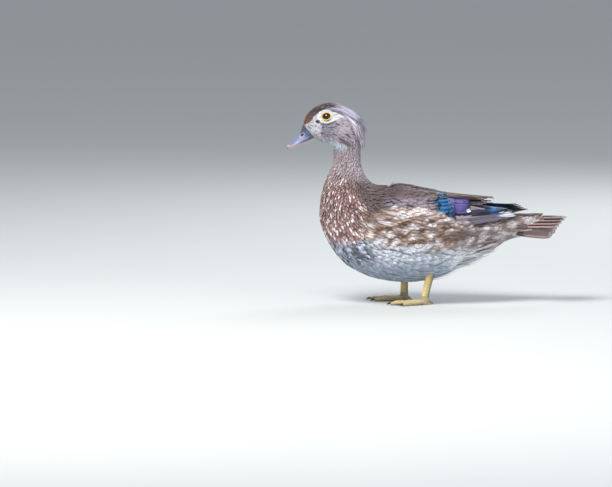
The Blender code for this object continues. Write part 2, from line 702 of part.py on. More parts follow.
def build_foot(word, side, finish):
    """Three webbed toes with claws, and the small hind toe, all flat along the floor."""
    foot = STANCE[word][1]
    y = side * FOOT_SPREAD
    joint = Vector((foot, y, JOINT_HEIGHT))
    knob = [(foot + 0.001, y, 0.0), (foot, y, JOINT_HEIGHT), (foot, y, 0.012)]
    pieces = [tube("knob", knob, (0.0052, 0.0056, 0.0048), squash=0.78)]
    toes = [(heading(side, spread), length) for spread, length in TOES]
    for way, length in toes:
        pieces += toe_pieces(joint, way, length)
    for first, second in zip(toes, toes[1:]):
        pieces.append(web(joint, first, second))
    back = heading(side, 180 - HIND_TOE_TURN)
    hind = [joint + Vector((0, 0, 0.001)), joint + back * HIND_TOE_LENGTH / 2, joint + back * HIND_TOE_LENGTH]
    hind[1].z, hind[2].z = 0.0047, 0.0012
    pieces.append(tube("hind_toe", hind, (0.0026, 0.0019, 0.0007), size=8))
    under = block("floor", (-0.2, -0.1, -0.02), (0.2, 0.1, 0.0))
    above = block("shank_side", (-0.2, -0.1, SOLE_TOP), (0.2, 0.1, 0.05))
    fused("foot_" + word, pieces, finish, [under, above], solver="MANIFOLD")


def stand_up(nodes):
    """Hangs every node on one empty, which puts the origin under the middle of the whole bird."""
    bpy.context.view_layer.update()
    corners = np.array([obj.matrix_world @ v.co for obj in nodes for v in obj.data.vertices])
    low, high = corners.min(axis=0), corners.max(axis=0)
    root = bpy.data.objects.new("wood_duck_hen", None)
    bpy.context.scene.collection.objects.link(root)
    root.location = (-(low[0] + high[0]) / 2, -(low[1] + high[1]) / 2, -low[2])
    for obj in nodes:
        obj.parent = root
        obj.data.shade_smooth()
        obj.data.set_sharp_from_angle(angle=math.radians(40))


def main():
    clear_scene()
    finishes = {
        "body": material("body feathers", FEATHER_BROWN, 0.8),
        "head": material("head feathers", HEAD_GREY, 0.75),
        "tail": material("tail feathers", TAIL_BROWN, 0.7),
        "wing": material("wing feathers", WING_GREY, 0.6),
        "bill": material("bill horn", BILL_GREY, 0.4),
        "leg": material("leg scales", LEG_OCHRE, 0.5),
        "foot": material("foot web", FOOT_DUSKY, 0.55),
        "eye": material("eye", EYE_DARK, 0.08),
    }
    body = build_body(finishes)
    finish_head(body["head"], build_crest(), finishes["head"])
    build_eyes(finishes["eye"])
    build_bill(finishes["bill"])
    build_tail(finishes["tail"])
    for word, side in (("left", -1), ("right", 1)):
        build_wing(word, side, finishes["wing"])
        build_leg(word, side, finishes["leg"])
        build_foot(word, side, finishes["foot"])
    stand_up([obj for obj in bpy.data.objects if obj.type == "MESH"])


main()
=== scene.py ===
"""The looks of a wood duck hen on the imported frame: skin, coat, flight feathers, bill, eyes, legs, feet."""

import math

import bmesh
import bpy
import numpy as np
from mathutils import Matrix, Vector


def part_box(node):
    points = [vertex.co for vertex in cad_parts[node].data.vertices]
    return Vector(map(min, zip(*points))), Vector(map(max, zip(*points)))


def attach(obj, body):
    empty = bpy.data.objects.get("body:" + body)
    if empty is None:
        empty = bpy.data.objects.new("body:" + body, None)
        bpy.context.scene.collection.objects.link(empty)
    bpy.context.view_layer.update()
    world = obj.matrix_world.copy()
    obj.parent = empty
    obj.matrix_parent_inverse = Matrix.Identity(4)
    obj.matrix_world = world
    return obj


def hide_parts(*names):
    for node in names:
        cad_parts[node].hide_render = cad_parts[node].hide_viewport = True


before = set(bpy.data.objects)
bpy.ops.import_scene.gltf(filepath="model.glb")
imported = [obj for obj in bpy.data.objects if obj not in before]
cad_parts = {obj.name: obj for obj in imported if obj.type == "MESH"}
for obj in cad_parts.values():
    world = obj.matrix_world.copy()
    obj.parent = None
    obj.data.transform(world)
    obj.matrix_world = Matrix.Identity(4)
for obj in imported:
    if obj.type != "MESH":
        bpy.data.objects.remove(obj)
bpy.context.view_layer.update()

# The body's stations, in metres: dorsal point (x, z), ventral point (x, z), half the width, and how much
# wider it is low down.
STATIONS = np.array([
    (0.1500, 0.1100, 0.1500, 0.0900, 0.0100, 0.00),     # beyond the tail base
    (0.1075, 0.1115, 0.1075, 0.0815, 0.0150, 0.00),     # tail base
    (0.0800, 0.1185, 0.0800, 0.0650, 0.0270, 0.00),     # rump
    (0.0488, 0.1260, 0.0488, 0.0485, 0.0400, -0.04),    # hip
    (0.0175, 0.1335, 0.0200, 0.0345, 0.0485, -0.06),    # loin
    (-0.0138, 0.1405, -0.0100, 0.0275, 0.0525, -0.06),  # mid back
    (-0.0360, 0.1450, -0.0375, 0.0272, 0.0530, -0.06),  # shoulder
    (-0.0500, 0.1468, -0.0700, 0.0335, 0.0505, -0.05),  # low breast
    (-0.0590, 0.1478, -0.1000, 0.0490, 0.0465, -0.04),  # breast
    (-0.0650, 0.1493, -0.1200, 0.0730, 0.0415, -0.02),  # breast front
    (-0.0690, 0.1515, -0.1320, 0.1020, 0.0360, 0.00),   # upper breast
    (-0.0725, 0.1550, -0.1318, 0.1290, 0.0305, 0.00),   # neck root
    (-0.0775, 0.1620, -0.1260, 0.1530, 0.0235, 0.00),   # lower neck
    (-0.0812, 0.1735, -0.1180, 0.1705, 0.0182, 0.00),   # mid neck
    (-0.0820, 0.1860, -0.1152, 0.1860, 0.0158, 0.00),   # slender neck
    (-0.0808, 0.1990, -0.1183, 0.1985, 0.0172, 0.00),   # throat
    (-0.0805, 0.2130, -0.1240, 0.2015, 0.0203, -0.04),  # nape
    (-0.0845, 0.2290, -0.1290, 0.2028, 0.0216, -0.08),  # back of the head
    (-0.0975, 0.2430, -0.1328, 0.2038, 0.0214, -0.12),  # crown
    (-0.1120, 0.2498, -0.1353, 0.2045, 0.0199, -0.14),  # top of the crown
    (-0.1265, 0.2500, -0.1370, 0.2050, 0.0176, -0.16),  # brow
    (-0.1395, 0.2448, -0.1380, 0.2054, 0.0147, -0.18),  # forehead
    (-0.1500, 0.2350, -0.1388, 0.2057, 0.0118, -0.20),  # lore
    (-0.1537, 0.2235, -0.1394, 0.2060, 0.0092, -0.22),  # bill base
])
BILL = np.array([
    (-0.1537, 0.2235, -0.1394, 0.2060, 0.0090, -0.22),  # against the face
    (-0.1570, 0.2142, -0.1472, 0.2012, 0.0086, -0.20),  # over the nostrils
    (-0.1612, 0.2082, -0.1550, 0.1982, 0.0083, -0.12),  # bridge
    (-0.1668, 0.2020, -0.1620, 0.1952, 0.0082, -0.05),  # blade
    (-0.1716, 0.1980, -0.1684, 0.1932, 0.0068, 0.00),   # nail
    (-0.1744, 0.1958, -0.1728, 0.1932, 0.0034, 0.00),   # tip
])
LAST = len(STATIONS) - 1
ROUNDNESS = 0.93
GAP = 0.0003
CAMERA_TILT = math.radians(5)
METRES_PER_PIXEL = 0.00125

# The tables stand in the part's own frame before it was centred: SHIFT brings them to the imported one.
SHIFT = np.array([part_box("torso")[1].x - (STATIONS[1][0] - GAP / 2), 0.0, 0.0])

MOUTH_CORNER = np.array([-0.1390, 0.0, 0.2082])
MOUTH_TIP = np.array([-0.1744, 0.0, 0.1938])
EYE_STATION, EYE_ANGLE = 19.44, 73.5
EYE_RADIUS, EYE_BULGE = 0.00645, 0.00235
PAD_FRONT, PAD_REAR = -0.054, 0.070
PAD_TOP_EDGE = ((0.0, 0.14, 0.5, 1.0), (25, 13, 12, 17))
PAD_LOW_EDGE = ((0.0, 0.14, 0.35, 0.62, 1.0), (46, 58, 65, 73, 60))
PAD_RISE, PAD_SHOULDER, PAD_FALL = 0.0056, 0.0030, 0.45

EYE_OPENING = 0.00672    # how near feathers come to an eye's middle


def ramp(value, edge, width):
    """0 well below the edge and 1 well above it, with a soft step as wide as the width."""
    t = np.clip((value - edge) / width + 0.5, 0, 1)
    return t * t * (3 - 2 * t)


def rows_at(table, stations):
    last = len(table) - 1
    stations = np.asarray(stations, float)
    k = np.clip(np.floor(stations).astype(int), 0, last - 1)
    t = (stations - k)[..., None]
    before, a = table[np.maximum(k - 1, 0)], table[k]
    b, after = table[k + 1], table[np.minimum(k + 2, last)]
    slope_a, slope_b = (b - before) / 2, (after - a) / 2
    return (
        a * (2 * t**3 - 3 * t**2 + 1)
        + slope_a * (t**3 - 2 * t**2 + t)
        + b * (3 * t**2 - 2 * t**3)
        + slope_b * (t**3 - t**2)
    )


def shell(table, stations, angles):
    """Points of a loft. An angle is in degrees from the dorsal point, positive towards +Y."""
    row = rows_at(table, stations)
    dorsal, ventral = row[..., 0:2], row[..., 2:4]
    centre, rise = (dorsal + ventral) / 2, (dorsal - ventral) / 2
    turn = np.radians(np.asarray(angles, float))
    up = np.sign(np.cos(turn)) * np.abs(np.cos(turn)) ** ROUNDNESS
    out = np.sign(np.sin(turn)) * np.abs(np.sin(turn)) ** ROUNDNESS
    place = centre + rise * up[..., None]
    across = row[..., 4] * out * (1 + row[..., 5] * up)
    return np.stack([place[..., 0], across, place[..., 1]], axis=-1) + SHIFT


def unit(vectors):
    return vectors / np.maximum(np.linalg.norm(vectors, axis=-1, keepdims=True), 1e-9)


def body_frame(stations, angles):
    """Point, outward normal, and the vectors for one station forward and one degree outwards."""
    stations, angles = np.broadcast_arrays(np.asarray(stations, float), np.asarray(angles, float))
    point = shell(STATIONS, stations, angles)
    along = (shell(STATIONS, stations + 0.06, angles) - shell(STATIONS, stations - 0.06, angles)) / 0.12
    around = (shell(STATIONS, stations, angles + 1.5) - shell(STATIONS, stations, angles - 1.5)) / 3.0
    row = rows_at(STATIONS, stations)
    zero = np.zeros_like(stations)
    centre = np.stack([(row[..., 0] + row[..., 2]) / 2, zero, (row[..., 1] + row[..., 3]) / 2], -1) + SHIFT
    normal = unit(np.cross(around, along))
    side = np.sign(np.sum(normal * (point - centre), axis=-1, keepdims=True))
    return point, normal * side, along, around


def wing_share(stations, angles):
    """How far back and how far down on the wing's pad a place lies, each from 0 to 1 on the pad."""
    row = rows_at(STATIONS, stations)
    u = ((row[..., 0] + row[..., 2]) / 2 - PAD_FRONT) / (PAD_REAR - PAD_FRONT)
    low, high = np.interp(u, *PAD_TOP_EDGE), np.interp(u, *PAD_LOW_EDGE)
    return u, (np.abs((np.asarray(angles) + 180) % 360 - 180) - low) / (high - low)


def wing_mass(stations, angles):
    """The height of the folded wing's rounded mass above the body."""
    u, v = wing_share(stations, angles)
    inside = (u > 0) & (u < 1) & (v > 0) & (v < 1)
    dome = (1 - (2 * u - 1) ** 6) * (1 - (2 * v - 1) ** 4)
    return np.where(inside, (PAD_RISE * (1 - PAD_FALL * u) + PAD_SHOULDER * (1 - v)) * dome, 0.0)


def coat_depth(stations):
    """How deep the skin lies under the outline: thin on the face, thicker on the body."""
    return np.interp(stations, (0, 2, 6, 10, 14, 18, 23),
                     (0.0022, 0.0028, 0.0034, 0.0032, 0.0020, 0.0013, 0.0007))


def on_body(stations, angles, height):
    point, normal, _, _ = body_frame(stations, angles)
    return point + normal * (wing_mass(stations, angles) + height)[..., None]


def seen(points):
    """Where points stand in the side view, in millimetres ahead of the wing and above the floor."""
    place = points - SHIFT
    height = place[..., 2] - np.abs(place[..., 1]) * math.sin(CAMERA_TILT)
    return place[..., 0] * 1000, height * 1000


def patchy(x, z, scale, seed):
    """Smooth noise from -1 to 1 over the side view, the same each time."""
    draw = np.random.default_rng(seed)
    total = np.zeros_like(x)
    for _ in range(7):
        turn, phase = draw.uniform(0, 2 * math.pi, 2)
        wave = 2 * math.pi / (scale * draw.uniform(0.7, 1.6))
        total = total + np.sin((x * math.cos(turn) + z * math.sin(turn)) * wave + phase)
    return np.clip(total / 3.0, -1, 1)


def along_line(x, z, points):
    """The distance in millimetres from each place to a line through points."""
    best = np.full(np.shape(x), 1e9)
    for (ax, az), (bx, bz) in zip(points, points[1:]):
        dx, dz = bx - ax, bz - az
        t = np.clip(((x - ax) * dx + (z - az) * dz) / (dx * dx + dz * dz), 0, 1)
        best = np.minimum(best, np.hypot(x - ax - dx * t, z - az - dz * t))
    return best


def tint(colour, *steps):
    """The colour after steps towards others: each is a target and how far to go there, from 0 to 1."""
    for target, amount in zip(steps[::2], steps[1::2]):
        colour = colour + (np.asarray(target) - colour) * np.clip(amount, 0, 1)[..., None]
    return colour


# The coat's colours, and those of its marks. The shade of each feather is darker than its colour here,
# so the brightest are above 1.
COAT_BROWN, COAT_MARK = (0.150, 0.105, 0.100), (0.62, 0.50, 0.46)
BREAST, BREAST_DARK = (0.335, 0.188, 0.178), (0.200, 0.108, 0.098)
BREAST_DASH, NECK = (0.92, 0.79, 0.79), (0.42, 0.335, 0.365)
NAPE_PAINTED_LIGHT, MANTLE = (0.52, 0.425, 0.465), (0.122, 0.076, 0.080)
RUMP, SMALL_COVERTS = (0.075, 0.052, 0.045), (0.262, 0.212, 0.258)
FLANK, FLANK_CREAM = (0.43, 0.295, 0.250), (0.86, 0.78, 0.78)
FLANK_RUST, FLANK_TOP = (0.165, 0.078, 0.050), (0.84, 0.72, 0.70)
FLANK_MARK, BELLY = (0.84, 0.74, 0.70), (0.80, 0.84, 0.92)
BELLY_CLOUD_PAINTED_SHADE, BELLY_LOW_PAINTED_SHADE = (0.38, 0.43, 0.52), (0.33, 0.40, 0.51)
BELLY_MARK, BELLY_SPOT = (0.80, 0.82, 0.88), (0.085, 0.085, 0.110)
BELLY_BLUE, REAR = (0.30, 0.36, 0.50), (0.72, 0.66, 0.68)
REAR_MOTTLE, UNDER_WING = (0.200, 0.130, 0.105), (0.175, 0.098, 0.070)
TAIL_SIDE, VENT = (0.165, 0.110, 0.095), (0.82, 0.83, 0.88)
REAR_MARK, CHEEK = (0.13, 0.085, 0.07), (0.70, 0.595, 0.695)
CHEEK_MARK, NAPE_LILAC = (0.20, 0.140, 0.165), (0.66, 0.625, 0.80)
TOP_MAUVE, EYE_LINE = (0.56, 0.480, 0.575), (0.24, 0.215, 0.31)
CREST_END, CHEEK_FRONT = (0.42, 0.390, 0.52), (0.42, 0.390, 0.48)
FRONT_MARK, LORE = (0.085, 0.070, 0.085), (0.92, 0.89, 0.96)
LORE_MARK, CHIN = (0.16, 0.12, 0.13), (0.80, 0.78, 0.85)
CROWN, CROWN_MARK = (0.100, 0.070, 0.066), (0.48, 0.42, 0.46)
FORECROWN, BROW = (0.28, 0.125, 0.065), (0.050, 0.038, 0.048)
EYE_STREAK, PATCH_RIM = (0.94, 0.88, 0.98), (0.12, 0.10, 0.12)
BILL_EDGE, EYE_PATCH = (0.80, 0.79, 0.82), (1.14, 1.15, 1.18)
LORE_SPOT, JAW_PAINTED_SHADOW = (0.035, 0.028, 0.034), (0.215, 0.165, 0.175)
THROAT_WHITE_PAINTED_LIGHT, THROAT_MARK = (0.92, 1.08, 1.18), (0.60, 0.68, 0.76)


def plumage(points, stations, angles):
    """The colours of the coat where a feather grows: its own, its marks', and how strong each mark is."""
    x, z = seen(points)
    around = np.abs((np.asarray(angles) + 180) % 360 - 180)
    colour = np.tile(np.array(COAT_BROWN), (*x.shape, 1))
    mark = np.tile(np.array(COAT_MARK), (*x.shape, 1))
    dash, fringe = np.zeros_like(x), np.full_like(x, 0.05)

    # Breast and neck: brown with pale dashes that grow larger down the breast.
    breast = ramp(-x, 62 + 0.6 * np.maximum(z - 95, 0), 18) * ramp(z, 62, 22)
    ruddy = patchy(x, z, 16, 31) * 0.5 + 0.5
    colour = tint(colour, BREAST, breast, BREAST_DARK, breast * ramp(ruddy, 0.55, 0.5))
    mark = tint(mark, BREAST_DASH, breast)
    dash = dash + breast * ramp(172 - z, 0, 46) * (0.55 + 0.45 * ramp(-x, 92, 30))
    neck = ramp(z, 156, 26) * ramp(-x, 60, 10)
    # Painted light: the back of the neck is painted lighter than its sides.
    nape = neck * ramp(x, -92, 12)
    colour = tint(colour, NECK, neck, NAPE_PAINTED_LIGHT, nape)
    dash = dash * (1 - 0.6 * neck)

    # Mantle and shoulder: plain bronze brown. The rump is darker.
    mantle = ramp(x, -62, 16) * ramp(z, 112, 16)
    colour = tint(colour, MANTLE, mantle)
    rump = ramp(x, 62, 30) * ramp(60 - around, 0, 20)
    colour = tint(colour, RUMP, rump)
    arm = ramp(z, 119, 4) * ramp(x, -52, 10) * ramp(132 - z, 0, 6)
    colour = tint(colour, SMALL_COVERTS, arm)

    # Flanks: buff and white spots among warm brown blotches, each a few feathers wide.
    top = np.interp(x, (-80, -60, -45, 12, 26), (106, 112, 120, 119, 106)) + 2.5 * patchy(x, z, 11, 3)
    flank = ramp(x, -80, 22) * ramp(47 - x, 0, 22) * ramp(top - z, 0, 4)
    flank = flank * ramp(z, 68, 14)
    pale, rust = patchy(x * 0.8, z, 13, 11), patchy(x * 0.75, z, 11.5, 5)
    colour = tint(colour, FLANK, flank,
                  FLANK_CREAM, flank * ramp(pale, 0.18, 0.35),
                  FLANK_RUST, flank * ramp(rust, 0.22, 0.4))
    upper = flank * ramp(5 - np.abs(z - 113), 0, 6) * ramp(x, -50, 16)
    colour = tint(colour, FLANK_TOP, upper * (0.4 + 0.6 * ramp(pale, -0.2, 0.5)))
    mark = tint(mark, FLANK_MARK, flank)
    dash = dash * (1 - flank) + flank * 0.16
    fringe = fringe + flank * 0.05

    # Belly and vent: white tinted blue, with soft blue-grey clouds low down and a darker blue-grey towards
    # the bottom; the blue tint, the clouds and the darkening are painted shade. Dark spots in front.
    edge = np.interp(x, (-140, -115, -80, -30, 10, 30, 60, 110), (78, 72, 76, 72, 66, 64, 82, 88))
    belly = ramp(edge + 6 * patchy(x, z, 13, 9) - z, 0, 11)
    colour = tint(colour, BELLY, belly)
    # Painted shade: blue-grey clouds on the lower belly, and a darker blue-grey towards its bottom.
    cloud = ramp(patchy(x, z * 1.3, 9.5, 55), 0.0, 0.6) * ramp(66 - z, 0, 26)
    colour = tint(colour, BELLY_CLOUD_PAINTED_SHADE, belly * cloud * 0.9, BELLY_LOW_PAINTED_SHADE, belly * ramp(48 - z, 0, 20) * 0.95)
    mark = tint(mark, BELLY_MARK, belly)
    dash, fringe = dash * (1 - belly), fringe + 0.1 * belly
    spots = belly * ramp(-x, 62, 22) * ramp(z, 44, 16)
    mark = tint(mark, BELLY_SPOT, spots)
    dash = dash + 0.95 * spots
    colour = tint(colour, BELLY_BLUE, spots * ramp(patchy(x, z, 8, 77), -0.15, 0.7))

    # Rear flank and undertail: white with brown mottling.
    rear = ramp(x, 42, 24) * ramp(z, 58, 18) * ramp(around, 40, 16)
    mottle = ramp(patchy(x * 0.7, z, 9, 21), -0.05, 0.5)
    colour = tint(colour, REAR, rear * 0.9, REAR_MOTTLE, rear * mottle * ramp(z, 66, 16) * 0.85)
    patch = ramp(10 - along_line(x, z, [(24, 80), (48, 86)]), 3, 6)
    colour = tint(colour, UNDER_WING, patch * 0.9)
    side = ramp(4.5 - along_line(x, z, [(60, 98), (84, 104), (104, 106)]), 0, 5)
    colour = tint(colour, TAIL_SIDE, np.clip(side, 0, 1) * 0.8)
    vent = ramp(x, 30, 20) * ramp(64 - z, 0, 14)
    colour = tint(colour, VENT, vent)
    mark = tint(mark, REAR_MARK, rear * 0.8)
    dash = np.where(rear > 0.3, 0.45 * rear * ramp(z, 62, 10), dash)

    head = ramp(np.asarray(stations, float), 14.6, 1.2)
    on_head, face_mark = head_colours(x, z)
    colour = colour + (on_head - colour) * head[..., None]
    mark = mark + (face_mark - mark) * head[..., None]
    dash, fringe = dash * (1 - head) + 0.75 * head, fringe * (1 - head) + 0.10 * head
    return colour, mark, np.clip(dash, 0, 1), np.clip(fringe, 0, 1)


def head_colours(x, z):
    """The hen's head: bronze forecrown, lilac nape and cheek, white round the eye and on the throat."""
    colour = np.tile(np.array(CHEEK), (*x.shape, 1))
    mark = np.tile(np.array(CHEEK_MARK), (*x.shape, 1))
    above = np.interp(x, (-116, -103, -96, -90, -85, -80), (240, 236, 234, 229, 223, 212))
    upper = ramp(z - above, 0, 3)
    colour = tint(colour, NAPE_LILAC, upper, TOP_MAUVE, ramp(z, 243.8, 3) * ramp(x, -117, 8))
    line = along_line(x, z, [(-118, 241), (-107, 238), (-97, 234.5), (-90, 229.5), (-86, 224)])
    colour = tint(colour, EYE_LINE, ramp(1.7 - line, 0, 1.8) * 0.85,
                  CREST_END, ramp(x + (z - 225) * 0.55, -85, 4) * upper)
    front = ramp(-x, 114, 12) * ramp(226.5 - z, 0, 3)
    colour = tint(colour, CHEEK_FRONT, front)
    mark = tint(mark, FRONT_MARK, front)

    lore = ramp(-x, 131.5, 5) * ramp(234 - z, 0, 3)
    colour = tint(colour, LORE, lore)
    mark = tint(mark, LORE_MARK, lore)
    chin = ramp(3.2 - along_line(x, z, [(-134, 205), (-122, 203.5), (-116, 203)]), 0, 4)
    colour = tint(colour, CHIN, chin)

    edge = np.interp(x, (-154, -143.7, -141.9, -135.6, -131.7, -127.9, -123.1, -115.4, -104),
                     (222.0, 226.5, 231.5, 236.7, 239.0, 241.4, 243.4, 245, 250))
    crown = ramp(z - edge, 0.5, 2.2) * ramp(-x, 113, 12)
    colour = tint(colour, CROWN, crown)
    mark = tint(mark, CROWN_MARK, crown)
    colour = tint(colour, FORECROWN, crown * ramp(-x, 146, 8))
    brow = ramp(1.8 - along_line(x, z, [(-135, 239), (-126, 244.5), (-116, 247)]), 0, 2.2)
    colour = tint(colour, BROW, brow)

    for half, streak in ((1.3, [(-109, 233), (-102.9, 232.9), (-96.6, 230.8), (-90.4, 227.0)]),
                         (2.2, [(-90.0, 225.2), (-85.8, 220.5), (-83.0, 215.5), (-81.5, 208)])):
        share = 1.0 if half < 2 else 0.62
        colour = tint(colour, EYE_STREAK, ramp(half - along_line(x, z, streak), 0, 1.9) * share)
    ahead = 8.6 * np.sqrt(np.clip(1 - ((x + 125) / 11.6) ** 2, 0, 1))
    behind = np.interp(x, (-125, -119, -114, -107, -103), (8.6, 7.4, 5.2, 1.6, 0.3))
    reach = np.where(x < -125, ahead, behind)
    off = reach - np.abs(z - 233.0)
    white = ramp(off, 0, 1.3) * (reach > 0.2)
    rim = ramp(1.1 - np.abs(off + 1.4), 0, 1.0) * (z < 233) * (x < -112) * (reach > 0.5)
    colour = tint(colour, PATCH_RIM, rim * 0.7)
    bill_line = along_line(x, z, [(-145.4, 222.6), (-144.4, 216), (-141, 209.5), (-134, 206.2)])
    colour = tint(colour, BILL_EDGE, ramp(2.1 - bill_line, 0, 1.2))
    spot = np.hypot((x + 135.3) / 1.5, z - 226.8)
    spot_mask = ramp(1.9 - spot, 0, 1.2)
    colour = tint(colour, EYE_PATCH, white * (1 - spot_mask))
    mark = tint(mark, EYE_PATCH, white)
    colour = tint(colour, LORE_SPOT, spot_mask)
    mark = tint(mark, LORE_SPOT, spot_mask)

    # Painted shadow: a dark brown line along the cheek's lower edge, where the jaw shades the throat.
    jaw = along_line(x, z, [(-107, 205), (-101.5, 200.5), (-92, 195.5)])
    colour = tint(colour, JAW_PAINTED_SHADOW, ramp(2.2 - jaw, 0, 3.2) * 0.85)
    throat = np.hypot((x + 110.5) / 12.5, (z - 193.0 + 0.35 * (x + 110.5)) / 8.6)
    under = ramp(203.5 - z - (x + 118) * 0.32, 0, 3)
    pale = ramp(1.0 - throat, 0, 0.3) * under
    # The throat is white; its blue tint and its brightness above 1 are painted light, set against the shade
    # under the jaw.
    colour = tint(colour, THROAT_WHITE_PAINTED_LIGHT, pale)
    mark = tint(mark, THROAT_MARK, pale)
    return colour, mark


# Feathers.

ALL_ROUND = (-180, 180)
FEATHER_PATCH = (0.003, 0.003)    # how large one small feather's patch of the unwrap is


class Cut:
    """The shape of one kind of feather: sections from root to tip, and the points round a section."""

    def __init__(self, sections, ring, thickness, camber):
        self.along = np.array([s[0] for s in sections])
        self.width = np.array([s[1] for s in sections])
        self.across = np.array([p[0] for p in ring])
        self.layer = np.array([p[1] for p in ring])
        self.thickness = thickness
        self.camber = camber


LENS = ((-1, 0), (0, 1), (1, 0), (0, -1))
BLADE = ((-1, 0.1), (-0.5, 0.8), (0, 1.3), (0.5, 0.8), (1, 0.1), (0.5, -0.6), (0, -1), (-0.5, -0.6))
HAIR_CUT = Cut(((0, 0.6), (0.35, 1.0), (0.72, 0.78), (1.0, 0.10)), LENS, 0.00016, 0.0001)
BODY_CUT = Cut(((0, 0.55), (0.3, 0.95), (0.62, 1.0), (0.86, 0.72), (1.0, 0.14)), LENS, 0.00022, 0.0003)
BROAD_CUT = Cut(((0, 0.55), (0.25, 0.9), (0.55, 1.0), (0.8, 0.86), (0.94, 0.55), (1.0, 0.16)), BLADE,
                0.00024, 0.0005)
FLIGHT_CUT = Cut(
    ((0, 0.62), (0.15, 0.82), (0.35, 0.96), (0.55, 1.0), (0.72, 0.97), (0.84, 0.86), (0.93, 0.64),
     (0.98, 0.36), (1.0, 0.10)),
    BLADE, 0.00028, 0.0006,
)
POINTED_CUT = Cut(
    ((0, 0.62), (0.15, 0.85), (0.35, 1.0), (0.55, 0.97), (0.72, 0.82), (0.85, 0.58), (0.94, 0.34),
     (1.0, 0.06)),
    BLADE, 0.00028, 0.0005,
)


class Feathers:
    """A bunch of feathers of one cut, kept as arrays with one row for each feather."""

    def __init__(self, cut, stations, angles, length, half_width, root_height, tip_height,
                 yaw=0.0, end=None, tilt=0.0, surface=None, mass=True):
        count = len(stations)
        self.cut, self.count, self.tilt, self.mass = cut, count, tilt, mass
        self.surface = surface or body_frame
        self.station, self.angle = np.array(stations, float), np.array(angles, float)
        self.half_width = np.broadcast_to(half_width, count).astype(float)
        self.root_height = np.broadcast_to(root_height, count).astype(float)
        self.tip_height = np.broadcast_to(tip_height, count).astype(float)
        point, normal, along, around = self.surface(self.station, self.angle)
        self.root = point
        self.flip = np.where(self.angle < 0, -1.0, 1.0)
        station_length = np.maximum(np.linalg.norm(along, axis=-1), 0.0012)
        degree_length = np.maximum(np.linalg.norm(around, axis=-1), 0.00008)
        turn = np.radians(np.broadcast_to(yaw, count).astype(float))
        length = np.broadcast_to(length, count).astype(float)
        if end is None:
            self.station_run = np.clip(-length * np.cos(turn) / station_length, -3.0, 0.4)
            self.angle_run = -np.sign(self.angle) * length * np.sin(turn) / degree_length
        else:
            self.station_run = np.array(end[0], float) - self.station
            self.angle_run = np.array(end[1], float) - self.angle

    def points(self):
        cut = self.cut
        t = cut.along[None, :]
        station = self.station[:, None] + self.station_run[:, None] * t
        angle = self.angle[:, None] + self.angle_run[:, None] * t
        middle, normal, along, around = self.surface(station, angle)
        forward = unit(along * self.station_run[:, None, None] + around * self.angle_run[:, None, None])
        side = unit(np.cross(normal, forward))
        reach = cut.width[None, :] * self.half_width[:, None]
        per_station = np.sum(side * along, -1) / np.maximum(np.sum(along * along, -1), 4e-6)
        per_degree = np.sum(side * around, -1) / np.maximum(np.sum(around * around, -1), 8e-9)
        offset = reach[:, :, None] * cut.across[None, None, :]
        edge_station = station[:, :, None] + np.clip(offset * per_station[:, :, None], -1.2, 1.2)
        edge_angle = angle[:, :, None] + np.clip(offset * per_degree[:, :, None], -32, 32)
        base, out, _, _ = self.surface(edge_station, edge_angle)
        mass = wing_mass(edge_station, edge_angle) if self.mass else 0.0
        rise = self.root_height[:, None] + (self.tip_height - self.root_height)[:, None] * t**1.25
        thick = cut.thickness * (0.35 + 0.65 * np.sqrt(1 - 0.85 * t**3))
        arch = np.sin(math.pi * np.clip(t, 0.12, 0.85))[:, :, None]
        height = rise[:, :, None] - cut.camber * np.abs(cut.across) ** 2 * arch
        height = height + self.tilt * self.flip[:, None, None] * cut.across * t[:, :, None]
        height = height + cut.layer[None, None, :] * thick[:, :, None] + mass
        return base + out * height[..., None]


